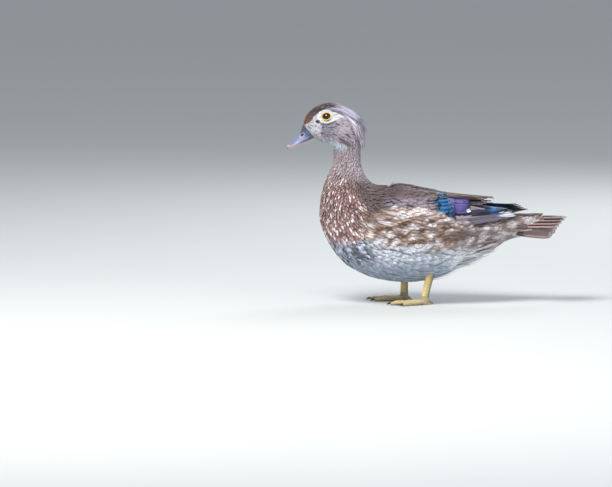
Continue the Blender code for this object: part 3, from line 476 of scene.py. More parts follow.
def join_feathers(name, bunches, paints, patches, finish):
    """One mesh of many feathers. Each paint holds a bunch's colours, each patch its place on the unwrap."""
    points, quads, feather_uv, bake_uv, tone, second, marks = [], [], [], [], [], [], []
    start = 0

    def at_points(values, count, size):
        """A value for each point, from one for each point or for each feather."""
        values = np.asarray(values, float)
        return values if len(values) == count * size else np.repeat(values, size, axis=0)

    for bunch, paint, patch in zip(bunches, paints, patches):
        cut = bunch.cut
        sections, ring = len(cut.along), len(cut.across)
        size = sections * ring
        points.append(bunch.points().reshape(-1, 3))
        cells = []
        for i in range(sections - 1):
            for j in range(ring):
                a, b = i * ring + j, i * ring + (j + 1) % ring
                cells.append((a, b, b + ring, a + ring))
        faces = np.array(cells)
        caps = cap_quads(ring, 0, False) + cap_quads(ring, (sections - 1) * ring, True)
        faces = np.vstack([faces, np.array(caps)])
        quads.append((faces[None] + (np.arange(bunch.count) * size)[:, None, None] + start).reshape(-1, 4))
        local = np.stack([np.tile(cut.across * 0.5 + 0.5, sections), np.repeat(cut.along, ring)], -1)
        each = np.repeat(local[faces][None], bunch.count, axis=0)
        each[..., 0] = 0.5 + (each[..., 0] - 0.5) * bunch.flip[:, None, None]
        feather_uv.append(each.reshape(-1, 2))
        centre, span = patch
        bake_uv.append((centre[:, None, None, :] + (each - 0.5) * np.asarray(span)).reshape(-1, 2))
        for store, values in ((tone, paint[0]), (second, paint[1])):
            spread = at_points(values, bunch.count, size)
            store.append(np.concatenate([spread, np.ones((len(spread), 1))], -1))
        each = [at_points(values, bunch.count, size) for values in paint[2:5]]
        marks.append(np.stack([*each, np.ones(len(each[0]))], -1))
        start += bunch.count * size
    points, quads = np.concatenate(points), np.concatenate(quads)
    mesh = bpy.data.meshes.new(name)
    mesh.vertices.add(len(points))
    mesh.vertices.foreach_set("co", points.astype(np.float32).ravel())
    mesh.loops.add(quads.size)
    mesh.loops.foreach_set("vertex_index", quads.astype(np.int32).ravel())
    mesh.polygons.add(len(quads))
    mesh.polygons.foreach_set("loop_start", np.arange(0, quads.size, 4, dtype=np.int32))
    mesh.update(calc_edges=True)
    for title, values in (("OFBake", bake_uv), ("feather", feather_uv)):
        layer = mesh.uv_layers.new(name=title)
        layer.uv.foreach_set("vector", np.concatenate(values).astype(np.float32).ravel())
    for title, values in (("tone", tone), ("second", second), ("marks", marks)):
        layer = mesh.color_attributes.new(title, "FLOAT_COLOR", "POINT")
        layer.data.foreach_set("color", np.concatenate(values).astype(np.float32).ravel())
    mesh.polygons.foreach_set("use_smooth", np.ones(len(quads), dtype=bool))
    mesh.materials.append(finish)
    return shown(name, mesh)


def cap_quads(ring, first, far):
    """Quads that close a section, in the order that faces outwards."""
    quads = []
    for k in range(1, ring // 2):
        quad = (first + k - 1, first + k, first + ring - 1 - k, first + (ring - k) % ring)
        quads.append(quad[::-1] if not far else quad)
    return quads


def shown(name, data):
    """An object of the data, in the scene."""
    made = bpy.data.objects.new(name, data)
    bpy.context.scene.collection.objects.link(made)
    return made


class PlacedFeathers:
    """Feathers that stand off the body, given by their points: one row of sections by points for each."""

    def __init__(self, cut, points, flip):
        self.cut, self.count, self.laid, self.flip = cut, len(points), np.array(points), np.array(flip, float)

    def points(self):
        return self.laid


def scattered(stations, angles, spacing, seed, tries):
    """Places spread evenly over a stretch of the body, none nearer to another than the spacing there."""
    draw = np.random.default_rng(seed)
    s, a = draw.uniform(*stations, tries), draw.uniform(*angles, tries)
    point, _, along, around = body_frame(s, a)
    area = np.linalg.norm(np.cross(along, around), axis=-1)
    kept = draw.uniform(0, 1, tries) < area / area.max()
    s, a, point = s[kept], a[kept], point[kept]
    gaps = spacing(s, a)
    cell = float(gaps.max())
    cells = np.floor(point / cell).astype(int)
    taken, chosen = {}, []
    near = [(i, j, k) for i in (-1, 0, 1) for j in (-1, 0, 1) for k in (-1, 0, 1)]
    places, squares = point.tolist(), (gaps**2).tolist()
    for n, (x, y, z) in enumerate(cells.tolist()):
        px, py, pz = places[n]
        limit, free = squares[n], True
        for i, j, k in near:
            for qx, qy, qz in taken.get((x + i, y + j, z + k), ()):
                if (px - qx) ** 2 + (py - qy) ** 2 + (pz - qz) ** 2 < limit:
                    free = False
                    break
            if not free:
                break
        if free:
            taken.setdefault((x, y, z), []).append((px, py, pz))
            chosen.append(n)
    return s[chosen], a[chosen]


def even_gap(gap):
    """A spacing that is the same everywhere."""
    return lambda s, a: gap + 0 * s


def on_both_sides(stations, angles, gap, seed, tries, kept):
    """Places scattered evenly on each side of the body, of which those are left that kept allows."""
    places = []
    for side in (-1, 1):
        reach = tuple(sorted((side * angles[0], side * angles[1])))
        s, a = scattered(stations, reach, even_gap(gap), seed + side, tries)
        chosen = kept(s, a)
        places.append((s[chosen], a[chosen]))
    return np.concatenate(places, axis=1)


def shared_out(stations, count):
    """The places in order from the tail to the bill, in as many parts as asked."""
    order = np.argsort(stations)
    part = len(order) // count
    ends = [k * part for k in range(count)] + [len(order)]
    return [order[first:last] for first, last in zip(ends, ends[1:])]


def between(first, last, share):
    """The place that lies a share of the way from the first to the last."""
    return np.array(first) + (np.array(last) - np.array(first)) * share


def skin_place(stations, angles):
    """Where a place of the body lies on the unwrap of its skin."""
    return np.stack([(np.asarray(angles) % 360) / 360, np.asarray(stations) / LAST], -1)


def station_at(x):
    """The station of the torso whose slice has its middle at x."""
    steps = np.linspace(0.0, 7.0, 281)
    rows = rows_at(STATIONS, steps)
    return np.interp(-np.asarray(x), -(rows[:, 0] + rows[:, 2]) / 2, steps)


# Materials.

def new_group(title, inputs, outputs):
    """A node group, its inputs' sockets and its last node. A tuple stands for a colour."""
    group = bpy.data.node_groups.new(title, "ShaderNodeTree")
    for way, sockets in (("INPUT", inputs), ("OUTPUT", outputs)):
        for name, value in sockets.items():
            kind = "NodeSocketColor" if isinstance(value, tuple) else "NodeSocketFloat"
            group.interface.new_socket(name, in_out=way, socket_type=kind).default_value = value
    return group, group.nodes.new("NodeGroupInput").outputs, group.nodes.new("NodeGroupOutput").inputs


def feed(tree, socket, value):
    """Sets a socket to a number, or links it to another socket."""
    if isinstance(value, bpy.types.NodeSocket):
        tree.links.new(value, socket)
    elif isinstance(value, tuple) and len(value) == 3 and socket.type == "RGBA":
        socket.default_value = (*value, 1.0)
    else:
        socket.default_value = value


def sums(tree, operation, *values):
    node = tree.nodes.new("ShaderNodeMath")
    node.operation = operation
    for socket, value in zip(node.inputs, values):
        feed(tree, socket, value)
    return node.outputs[0]


def times(tree, first, second):
    return sums(tree, "MULTIPLY", first, second)


def plus(tree, first, second):
    return sums(tree, "ADD", first, second)


def minus(tree, first, second):
    return sums(tree, "SUBTRACT", first, second)


def scaled(tree, value, gain, start):
    """The value times a gain, and a start added."""
    return sums(tree, "MULTIPLY_ADD", value, gain, start)


def soft_step(tree, value, low, high):
    """0 below low and 1 above high, with a soft step between."""
    node = tree.nodes.new("ShaderNodeMapRange")
    node.interpolation_type = "SMOOTHSTEP"
    feed(tree, node.inputs["Value"], value)
    feed(tree, node.inputs["From Min"], low)
    feed(tree, node.inputs["From Max"], high)
    return node.outputs["Result"]


def mixed(tree, share, first, second, way="MIX"):
    node = tree.nodes.new("ShaderNodeMix")
    node.data_type, node.blend_type = "RGBA", way
    feed(tree, node.inputs[0], share)
    feed(tree, node.inputs[6], first)
    feed(tree, node.inputs[7], second)
    return node.outputs[2]


def noise(tree, place, scale, detail=3.0):
    node = tree.nodes.new("ShaderNodeTexNoise")
    feed(tree, node.inputs["Vector"], place)
    feed(tree, node.inputs["Scale"], scale)
    feed(tree, node.inputs["Detail"], detail)
    feed(tree, node.inputs["Roughness"], 0.55)
    return node.outputs["Fac"]


def object_place(tree):
    return tree.nodes.new("ShaderNodeTexCoord").outputs["Object"]


def attribute(tree, name):
    node = tree.nodes.new("ShaderNodeAttribute")
    node.attribute_name = name
    return node


def split(tree, vector):
    node = tree.nodes.new("ShaderNodeSeparateXYZ")
    feed(tree, node.inputs[0], vector)
    return node.outputs


def placed(tree, group, **values):
    """A group's node in the tree, with its inputs set or linked."""
    node = tree.nodes.new("ShaderNodeGroup")
    node.node_tree = group
    for name, value in values.items():
        feed(tree, node.inputs[name], value)
    return node


def feather_place(tree):
    """Where a point lies on its feather: across it, and along it from root to tip."""
    lie = tree.nodes.new("ShaderNodeUVMap")
    lie.uv_map = "feather"
    return split(tree, lie.outputs[0])[:2]


def darkened(tree, colour, shade):
    """A colour times a grey as bright as the shade."""
    grey = tree.nodes.new("ShaderNodeCombineColor")
    for socket in grey.inputs[:3]:
        feed(tree, socket, shade)
    return mixed(tree, 1.0, colour, grey.outputs[0], "MULTIPLY")


def bands(tree, place, stops):
    """A colour for each stretch of a feather: stops are (place, colour)."""
    node = tree.nodes.new("ShaderNodeValToRGB")
    node.color_ramp.interpolation = "EASE"
    elements = node.color_ramp.elements
    while len(elements) < len(stops):
        elements.new(0.5)
    for element, (at, colour) in zip(elements, stops):
        element.position = at
        element.color = (*colour, 1.0)
    feed(tree, node.inputs[0], place)
    return node.outputs["Color"]


def new_material(title, roughness, specular=0.5):
    made = bpy.data.materials.new(title)
    made.use_nodes = True
    shader = made.node_tree.nodes["Principled BSDF"]
    shader.inputs["Roughness"].default_value = roughness
    shader.inputs["Specular IOR Level"].default_value = specular
    return made, made.node_tree, shader


def finished(made, tree, shader, colour, height, distance, strength):
    """The material, with its colour and its relief linked to its shader."""
    tree.links.new(colour, shader.inputs["Base Color"])
    bump = tree.nodes.new("ShaderNodeBump")
    feed(tree, bump.inputs["Strength"], strength)
    feed(tree, bump.inputs["Distance"], distance)
    feed(tree, bump.inputs["Height"], height)
    tree.links.new(bump.outputs[0], shader.inputs["Normal"])
    return made


BARB_SLANT = 0.16
SHORT_BARBS, LONG_BARBS = 16.0, 60.0    # how many barbs a body feather and a flight feather show


def barb_group():
    """The barbs of a vane: fine slanting lines out from the shaft, a little ragged."""
    group, given, result = new_group(
        "vane barbs", {"Across": 0.5, "Along": 0.5, "Count": 30.0, "Shade": 0.5},
        {"Barbs": 0.0, "Out": 0.0, "Shaft": 0.0},
    )
    across, along, number, shade = given[:4]
    off = times(group, minus(group, across, 0.5), 2.0)
    out = sums(group, "ABSOLUTE", off)
    count = times(group, minus(group, along, times(group, out, BARB_SLANT)), number)
    place = group.nodes.new("ShaderNodeCombineXYZ")
    for socket, value in zip(place.inputs, (count, off, times(group, shade, 37.0))):
        feed(group, socket, value)
    wave = sums(group, "SINE", times(group, count, 2 * math.pi))
    barbs = scaled(group, wave, 0.22, noise(group, place.outputs[0], 1.6, 2.0))
    shaft = minus(group, 1.0, soft_step(group, out, 0.03, 0.12))
    for socket, value in zip(result, (barbs, out, shaft)):
        feed(group, socket, value)
    return group


def vane_group(barb):
    """A body feather's pattern: its ground, a pale drop near the tip, a fringe, and painted shade towards its
    root.
    """
    group, given, result = new_group(
        "body vane", {"Across": 0.5, "Along": 0.5, "Ground": (0.2, 0.15, 0.12, 1),
                      "Mark": (0.6, 0.5, 0.45, 1), "Drop": 0.5, "Fringe": 0.1, "Shade": 0.5},
        {"Colour": (0.0, 0.0, 0.0, 1.0), "Height": 0.0},
    )
    across, along, ground, mark, drop, fringe, shade = given[:7]
    lines = placed(group, barb, Across=across, Along=along, Shade=shade, Count=SHORT_BARBS)
    barbs, out, shaft = lines.outputs
    ragged = times(group, minus(group, barbs, 0.5), 0.5)
    wide = sums(group, "DIVIDE", out, 0.58)
    far = sums(group, "DIVIDE", minus(group, along, 0.84), 0.15)
    shape = plus(group, plus(group, times(group, wide, wide), times(group, far, far)), ragged)
    drop = times(group, minus(group, 1.0, soft_step(group, shape, 0.55, 1.25)), drop)
    rim = sums(group, "MAXIMUM", out, sums(group, "DIVIDE", minus(group, along, 0.70), 0.29))
    edge = times(group, soft_step(group, plus(group, rim, ragged), 0.72, 1.0), fringe)
    colour = mixed(group, drop, mixed(group, edge, ground, mark), mark)
    tone = times(group, scaled(group, barbs, 0.30, 0.87), scaled(group, shade, 0.30, 0.85))
    # Painted shade: each feather is darker towards its root, where the feathers over it shade it.
    tone = times(group, tone, scaled(group, soft_step(group, along, 0.1, 0.85), 0.26, 0.74))
    tone = times(group, tone, scaled(group, shaft, -0.16, 1.0))
    feed(group, result[0], darkened(group, colour, tone))
    feed(group, result[1], scaled(group, shaft, 0.8, barbs))
    return group


def coat_material(title, vane, roughness, sheen):
    made, tree, shader = new_material(title, roughness, 0.35)
    shader.inputs["Sheen Weight"].default_value = sheen
    shader.inputs["Sheen Roughness"].default_value = 0.5
    across, along = feather_place(tree)
    drop, fringe, shade = split(tree, attribute(tree, "marks").outputs["Vector"])
    pattern = placed(
        tree, vane, Across=across, Along=along, Ground=attribute(tree, "tone").outputs["Color"],
        Mark=attribute(tree, "second").outputs["Color"], Drop=drop, Fringe=fringe, Shade=shade,
    )
    return finished(made, tree, shader, pattern.outputs["Colour"], pattern.outputs["Height"], 0.00022, 0.6)


def flight_material(title, barb, upper, lower, roughness, metallic=0.0, edge=None, shaft=0.5, blotch=None):
    """A long feather: bands along its upper and its lower web, with a shaft and fine barbs.

    An edge is its colour and where it starts across and along. Marked feathers have a white tip.
    """
    made, tree, shader = new_material(title, roughness, 0.5)
    shader.inputs["Metallic"].default_value = metallic
    across, along = feather_place(tree)
    marked, plain, shade = split(tree, attribute(tree, "marks").outputs["Vector"])
    barbs, out, spine = placed(tree, barb, Across=across, Along=along, Shade=shade, Count=LONG_BARBS).outputs
    wander = times(tree, minus(tree, barbs, 0.5), 0.05)
    place = minus(tree, plus(tree, along, wander), times(tree, out, 0.03))
    side = times(tree, soft_step(tree, across, 0.44, 0.56), minus(tree, 1.0, plain))
    colour = mixed(tree, side, bands(tree, place, upper), bands(tree, place, lower))
    if blotch:
        cloud = soft_step(tree, noise(tree, object_place(tree), blotch[1], 2.0), blotch[2], blotch[2] + 0.05)
        span = times(tree, soft_step(tree, along, 0.56, 0.60), cloud)
        colour = mixed(tree, span, colour, blotch[0])
    if edge:
        rim = soft_step(tree, plus(tree, across, wander), edge[1], edge[1] + 0.04)
        rim = times(tree, rim, soft_step(tree, along, edge[2], edge[2] + 0.15))
        colour = mixed(tree, rim, colour, edge[0])
    tip = times(tree, marked, soft_step(tree, place, 0.88, 0.91))
    colour = mixed(tree, tip, colour, (0.95, 0.95, 1.0))
    tone = times(tree, scaled(tree, barbs, 0.36, 0.80), scaled(tree, shade, 0.3, 0.85))
    colour = mixed(tree, times(tree, spine, shaft), darkened(tree, colour, tone), (0.05, 0.035, 0.03))
    return finished(made, tree, shader, colour, scaled(tree, spine, 1.0, barbs), 0.00025, 0.5)


def skin_material():
    """Under the coat: the same markings, darkened with a downy grain: painted shade for the skin under the
    feathers, like the painted shade at the feathers' roots.
    """
    made, tree, shader = new_material("skin under the coat", 0.8, 0.2)
    tone = attribute(tree, "tone").outputs["Color"]
    down = noise(tree, object_place(tree), 900.0, 4.0)
    # Painted shade: the markings are multiplied towards a dark downy grey, for the shade under the coat.
    colour = mixed(tree, 0.45, tone, mixed(tree, down, (0.10, 0.08, 0.08), (0.42, 0.38, 0.38)), "MULTIPLY")
    return finished(made, tree, shader, colour, down, 0.0004, 0.6)


def horn_material():
    """Bill horn: pale blue grey, dusky at its base, rosy along the mouth, with its nostril painted near black
    as the shade in its pit.
    """
    made, tree, shader = new_material("bill horn", 0.34, 0.5)
    place = object_place(tree)
    cloud, lines = noise(tree, place, 170.0, 4.0), noise(tree, place, 1300.0, 3.0)
    mask = {name: attribute(tree, name).outputs["Fac"] for name in ("shade", "rosy", "nostril", "comb")}
    colour = mixed(tree, scaled(tree, cloud, 1.2, -0.25), (0.215, 0.260, 0.460), (0.150, 0.185, 0.335))
    colour = mixed(tree, mask["shade"], colour, (0.052, 0.060, 0.115))
    colour = mixed(tree, mask["rosy"], colour, (0.50, 0.395, 0.400))
    x, _, z = split(tree, place)
    slant = times(tree, plus(tree, x, times(tree, z, 0.9)), 5200.0)
    comb = soft_step(tree, sums(tree, "SINE", slant), 0.0, 0.8)
    colour = mixed(tree, times(tree, comb, mask["comb"]), colour, (0.07, 0.065, 0.085))
    # Painted shade: the nostril's pit is painted near black.
    colour = mixed(tree, mask["nostril"], colour, (0.030, 0.008, 0.009))
    return finished(made, tree, shader, colour, plus(tree, cloud, times(tree, lines, 0.3)), 0.0003, 0.35)


def eye_material():
    made, tree, shader = new_material("wet eye", 0.06, 0.45)
    shader.inputs["Coat Weight"].default_value = 0.4
    shader.inputs["Coat Roughness"].default_value = 0.02
    lie = tree.nodes.new("ShaderNodeUVMap")
    lie.uv_map = "gaze"
    x, y, _ = split(tree, lie.outputs[0])
    x, y = minus(tree, x, 0.5), minus(tree, y, 0.5)    # the pupil's middle is the map's
    far = sums(tree, "SQRT", plus(tree, times(tree, x, x), times(tree, y, y)))
    pupil, iris, rim = (0.003, 0.003, 0.005), (0.022, 0.014, 0.034), (0.004, 0.003, 0.005)
    look = bands(tree, far, [(0.0, pupil), (0.22, pupil), (0.25, iris), (0.34, (0.014, 0.009, 0.022)),
                             (0.39, rim)])
    tree.links.new(look, shader.inputs["Base Color"])
    return made


def lid_material():
    made, tree, shader = new_material("yellow eyelid", 0.45, 0.4)
    grain = noise(tree, object_place(tree), 2600.0, 3.0)
    colour = mixed(tree, grain, (0.90, 0.56, 0.03), (1.0, 0.76, 0.12))
    return finished(made, tree, shader, colour, grain, 0.0002, 0.5)


def scale_material(title, pale, dark, roughness, scale):
    """Scaled skin of legs and feet: small plates with dark seams. Shade says how dusky a place is."""
    made, tree, shader = new_material(title, roughness, 0.4)
    place = object_place(tree)
    plates = tree.nodes.new("ShaderNodeTexVoronoi")
    plates.feature = "DISTANCE_TO_EDGE"
    feed(tree, plates.inputs["Vector"], place)
    plates.inputs["Scale"].default_value = scale
    seam = soft_step(tree, plates.outputs["Distance"], 0.0, 0.16)
    dusk = plus(tree, attribute(tree, "shade").outputs["Fac"],
                scaled(tree, noise(tree, place, 260.0), 0.7, -0.35))
    colour = mixed(tree, dusk, pale, dark)
    colour = mixed(tree, seam, mixed(tree, 0.45, colour, (0.05, 0.035, 0.02)), colour)
    return finished(made, tree, shader, colour, seam, 0.0004, 0.6)


def plain_material(title, colour, roughness, grain_scale, grain):
    made, tree, shader = new_material(title, roughness, 0.3)
    spots = noise(tree, object_place(tree), grain_scale, 5.0)
    darker = tuple(c * (1 - grain) for c in colour)
    tree.links.new(mixed(tree, spots, darker, colour), shader.inputs["Base Color"])
    return made


# Modelling.

def added(name, operator, **values):
    """A new piece from one of Blender's add operators, and the only one selected."""
    bpy.ops.object.select_all(action="DESELECT")
    operator(**values)
    piece = bpy.context.object
    piece.name = name
    return piece


def drawn_out(name, rings, finish, smooth=180):
    """A closed tube drawn out from a circle, ring by ring. It returns the piece and each ring's vertices."""
    count = len(rings[0])
    middle = tuple(float(c) for c in np.mean(rings[0], axis=0))
    piece = added(name, bpy.ops.mesh.primitive_circle_add, vertices=count, radius=0.01, fill_type="NGON",
                  location=middle)
    bpy.ops.object.transform_apply(location=True, rotation=True, scale=True)
    bpy.ops.object.mode_set(mode="EDIT")
    bpy.ops.mesh.select_mode(type="FACE")
    bpy.ops.mesh.select_all(action="SELECT")
    line, lines = list(range(count)), []
    for step, ring in enumerate(rings):
        if step:
            bpy.ops.mesh.extrude_region()
        shape = bmesh.from_edit_mesh(piece.data)
        shape.verts.ensure_lookup_table()
        if step:
            fresh = []
            for old in line:
                ends = [edge.other_vert(shape.verts[old]) for edge in shape.verts[old].link_edges]
                fresh.append(next(end.index for end in ends if end.select))
            line = fresh
        for index, point in zip(line, ring):
            shape.verts[index].co = point
        lines.append(line)
    bpy.ops.mesh.select_all(action="SELECT")
    bpy.ops.mesh.normals_make_consistent(inside=False)
    bpy.ops.object.mode_set(mode="OBJECT")
    bpy.ops.object.shade_smooth_by_angle(angle=math.radians(smooth))
    piece.data.materials.append(finish)
    return piece, lines


def belongs(piece, slot, *nodes):
    """Hangs the piece on the model, and hides the parts that it stands for."""
    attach(piece, "root")
    if nodes:
        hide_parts(*nodes)
    return piece


def shade_by(piece, shade_at):
    """Stores how dusky each place of a piece is, from 0 to 1."""
    layer = piece.data.attributes.new("shade", "FLOAT", "POINT")
    values = [float(min(max(shade_at(vertex.co), 0.0), 1.0)) for vertex in piece.data.vertices]
    layer.data.foreach_set("value", values)


def joined(pieces, name):
    bpy.ops.object.select_all(action="DESELECT")
    for piece in pieces:
        piece.select_set(True)
    bpy.context.view_layer.objects.active = pieces[0]
    bpy.ops.object.join()
    pieces[0].name = name
    return pieces[0]


def ball_at_origin(name, radius, finish):
    piece = added(name, bpy.ops.mesh.primitive_uv_sphere_add, segments=48, ring_count=32, radius=1.0)
    bpy.ops.object.mode_set(mode="EDIT")
    bpy.ops.mesh.select_all(action="SELECT")
    bpy.ops.transform.resize(value=(radius,) * 3, center_override=(0, 0, 0))
    bpy.ops.object.mode_set(mode="OBJECT")
    bpy.ops.object.shade_smooth()
    piece.data.materials.append(finish)
    return piece


def build_skin(finish):
    """One skin for head, neck and torso, drawn from the face to the tail's root."""
    around = 72
    stations = np.concatenate([np.linspace(LAST, 15, 50), np.linspace(15, 10, 25)[1:],
                               np.linspace(10, 1, 56)[1:]])
    angles = np.arange(around) * 360.0 / around
    rings = [on_body(np.full(around, s), angles, -coat_depth(np.full(around, s))) for s in stations]
    piece, lines = drawn_out("skin", rings, finish)
    colours = np.ones((len(piece.data.vertices), 4))
    for s, line in zip(stations, lines):
        colour = plumage(on_body(np.full(around, s), angles, np.zeros(around)), np.full(around, s), angles)[0]
        colours[line, :3] = colour
    layer = piece.data.color_attributes.new("tone", "FLOAT_COLOR", "POINT")
    layer.data.foreach_set("color", colours.astype(np.float32).ravel())
    unwrap_by_rings(piece, lines, angles, stations)
    return belongs(piece, "body_feathers", "head", "neck", "torso")


def unwrap_by_rings(piece, lines, angles, stations):
    """The skin laid flat: the way round is across, and the way from tail to bill is up."""
    spot = {}
    for s, line in zip(stations, lines):
        for angle, index in zip(angles, line):
            spot[index] = (angle / 360.0, s / LAST)
    layer = piece.data.uv_layers.new(name="OFBake")
    for face in piece.data.polygons:
        ends = [spot[v] for v in face.vertices]
        wide = max(e[0] for e in ends) - min(e[0] for e in ends) > 0.5 and len(ends) == 4
        for loop, (u, v) in zip(face.loop_indices, ends):
            layer.data[loop].uv = (u + 1.0 if wide and u < 0.5 else u, v)


SHOWN = 0.80    # the share of a feather's length where it shows past the ones before it


def coat_paint(bunch, draw, spread=0.10, proud=None, rest=0.7):
    """What plumage says of each feather: its ground follows the place, its marks where its tip shows."""
    cut, count = bunch.cut, bunch.count
    size = len(cut.along) * len(cut.across)
    stations = bunch.station + bunch.station_run * SHOWN
    angles = bunch.angle + bunch.angle_run * SHOWN
    _, mark, drop, fringe = plumage(on_body(stations, angles, np.zeros(count)), stations, angles)
    share = np.maximum(np.repeat(cut.along, len(cut.across)), 0.45)[None, :]
    stations = (bunch.station[:, None] + bunch.station_run[:, None] * share).ravel()
    angles = (bunch.angle[:, None] + bunch.angle_run[:, None] * share).ravel()
    ground = plumage(bunch.points().reshape(-1, 3), stations, angles)[0].reshape(count, size, 3)
    proud = np.zeros(count, bool) if proud is None else proud
    fleck = np.clip(proud * drop * 1.3, 0, 0.88)[:, None, None]
    ground = ground + (mark[:, None, :] - ground) * fleck
    ground = ground * draw.uniform(1 - spread, 1 + spread, (count, 1, 1))
    drop = drop * np.where(proud, 1.0, rest * np.clip(draw.uniform(-0.35, 1.3, count), 0, 1))
    return ground.reshape(-1, 3), mark, np.clip(drop, 0, 1), fringe, draw.uniform(0, 1, count)


def coat_piece(name, cut, stations, angles, sizes, draw, finish, slot, yaw=0.0, lift=(0.55, 0.0004),
               flecks=(0.15, 1.0), rest=0.7):
    """One piece of the coat: small feathers that lie back along the body.

    Flecks are the share of feathers that stand proud of the rest and show their mark all over, and how
    wide these are. Rest is how strong the marks of the others are.
    """
    length, half_width = sizes
    count = len(stations)
    length = length * draw.uniform(0.86, 1.14, count)
    depth = coat_depth(stations)
    proud = draw.uniform(0, 1, count) < flecks[0]
    half_width = half_width * draw.uniform(0.9, 1.1, count) * np.where(proud, flecks[1], 1.0)
    yaw = yaw + draw.normal(0, 6, count)
    tip = lift[1] * draw.uniform(0.4, 1.6, count) + 0.00025 * proud
    bunch = Feathers(cut, stations, angles, length, half_width, -depth * lift[0], tip, yaw)
    paint = coat_paint(bunch, draw, 0.10, proud, rest)
    patch = (skin_place(stations, angles), FEATHER_PATCH)
    return belongs(join_feathers(name, [bunch], [paint], [patch], finish), slot)


def yaw_towards(stations, angles, way):
    """The yaw that turns a feather from the body's own line towards a way in space."""
    _, _, along, around = body_frame(stations, angles)
    along, around = unit(along), unit(around)
    skew = np.sum(along * around, -1)
    ahead, out = np.sum(along * way, -1), np.sum(around * way, -1)
    return np.degrees(np.arctan2((skew * ahead - out) * np.sign(angles), skew * out - ahead))


def clear_of_eye(points):
    """True where a head feather is far enough from the eyes to leave them open."""
    free = np.ones(len(points), bool)
    for side in (-1, 1):
        away = points - eye_place(side)[0]
        free &= np.linalg.norm(away * (1, 1, 1.12), axis=-1) > EYE_OPENING
    return free


def eye_place(side):
    point, normal, _, _ = body_frame(EYE_STATION, EYE_ANGLE * side)
    return point, normal


# How far apart feathers stand, how long they are and half their width, in metres, by station.
HEAD_STATIONS = (14.4, 17, 19, 21, 23)
HEAD_GAPS = (0.00165, 0.0014, 0.0012, 0.00105, 0.0009)
HEAD_LENGTHS = (0.0062, 0.0054, 0.0044, 0.0034, 0.0022)
HEAD_HALF_WIDTHS = (0.00120, 0.00100, 0.00082, 0.00068, 0.00050)
NEAR_EYE = (0.006, 0.012)    # how far from the eye its shorter, finer feathers reach
NECK_STATIONS = (9.6, 12, 15)
NECK_GAPS = (0.0026, 0.0020, 0.00165)
NECK_LENGTHS = (0.0098, 0.0078, 0.0062)
NECK_HALF_WIDTHS = (0.0025, 0.0020, 0.0015)
BODY_STATIONS = (1.2, 4, 7, 10)
BODY_GAPS = (0.0034, 0.0038, 0.0035, 0.0025)
BODY_LENGTH = 4.4            # a feather's length, in gaps
BACKWARDS = np.array((1.0, 0.0, -0.12))    # the way the cheek's feathers lie


def head_coat(finish):
    """The face, crown and cheeks, in the smallest feathers."""
    def spacing(s, a):
        return np.interp(s, HEAD_STATIONS, HEAD_GAPS)

    s, a = scattered((14.6, 22.97), ALL_ROUND, spacing, 41, 150000)
    free = clear_of_eye(on_body(s, a, np.zeros(len(s))))
    s, a = s[free], a[free]
    size, half = np.interp(s, HEAD_STATIONS, HEAD_LENGTHS), np.interp(s, HEAD_STATIONS, HEAD_HALF_WIDTHS)
    points = on_body(s, a, np.zeros(len(s)))
    for side in (-1, 1):
        near = np.linalg.norm(points - eye_place(side)[0], axis=-1)
        size = size * np.interp(near, NEAR_EYE, (0.55, 1.0))
        half = half * np.interp(near, NEAR_EYE, (0.7, 1.0))
    x, z = seen(points)
    cheek = ramp(-x, 86, 12) * ramp(z, 206, 12) * ramp(243 - z, 0, 5)
    cheek = cheek * ramp(np.abs(a), 38, 16) * ramp(150 - np.abs(a), 0, 20)
    yaw = np.clip(yaw_towards(s, a, BACKWARDS), -75, 75) * cheek
    draw = np.random.default_rng(42)
    for k, part in enumerate(shared_out(s, 2)):
        coat_piece(f"head_coat_{k}", HAIR_CUT, s[part], a[part], (size[part], half[part]), draw, finish,
                   "head_feathers", yaw=yaw[part], lift=(0.8, 0.00022), flecks=(0.13, 0.7), rest=0.35)


def neck_coat(finish):
    def spacing(s, a):
        return np.interp(s, NECK_STATIONS, NECK_GAPS)

    s, a = scattered((9.7, 14.6), ALL_ROUND, spacing, 51, 60000)
    sizes = np.interp(s, NECK_STATIONS, NECK_LENGTHS), np.interp(s, NECK_STATIONS, NECK_HALF_WIDTHS)
    coat_piece("neck_coat", BODY_CUT, s, a, sizes, np.random.default_rng(52), finish, "body_feathers",
               lift=(0.45, 0.0003), flecks=(0.16, 0.8), rest=0.5)


def body_coat(finish):
    """Breast, mantle, flanks, belly and vent. Feathers grow larger towards the rear."""
    def spacing(s, a):
        belly, side = np.interp(np.abs(a), (95, 130), (0.0, 1.0)), np.abs(a) > 30
        return np.interp(s, BODY_STATIONS, BODY_GAPS) * (1 + 0.34 * belly) * (1 - 0.12 * side)

    s, a = scattered((1.05, 9.8), ALL_ROUND, spacing, 61, 190000)
    u, v = wing_share(s, a)
    bare = (u > 0.10) & (u < 1.0) & (v > 0.12) & (v < 0.80)
    s, a = s[~bare], a[~bare]
    gap, up = spacing(s, a), np.abs(a)
    draw = np.random.default_rng(62)
    yaw = np.where((up > 60) & (up < 110) & (s < 6.5), -10.0, 0.0)
    broad = np.interp(up, (85, 110), (0.80, 0.98))
    tip_lift = np.interp(up, (90, 120), (0.0004, 0.00022))
    flat = np.interp(up, (90, 125), (0.50, 0.28)) * np.interp(s, (4, 6.5), (0.8, 1.0))
    for k, part in enumerate(shared_out(s, 3)):
        sizes = gap[part] * BODY_LENGTH, gap[part] * broad[part]
        coat_piece(f"body_coat_{k}", BODY_CUT, s[part], a[part], sizes, draw, finish, "body_feathers",
                   yaw=yaw[part], lift=(flat[part], tip_lift[part]), flecks=(0.34, 0.9), rest=0.45)


def plain_piece(name, bunch, draw, finish, slot):
    """A piece of the coat from one bunch, with no proud flecks."""
    patch = skin_place(bunch.station, bunch.angle), FEATHER_PATCH
    return belongs(join_feathers(name, [bunch], [coat_paint(bunch, draw)], [patch], finish), slot)


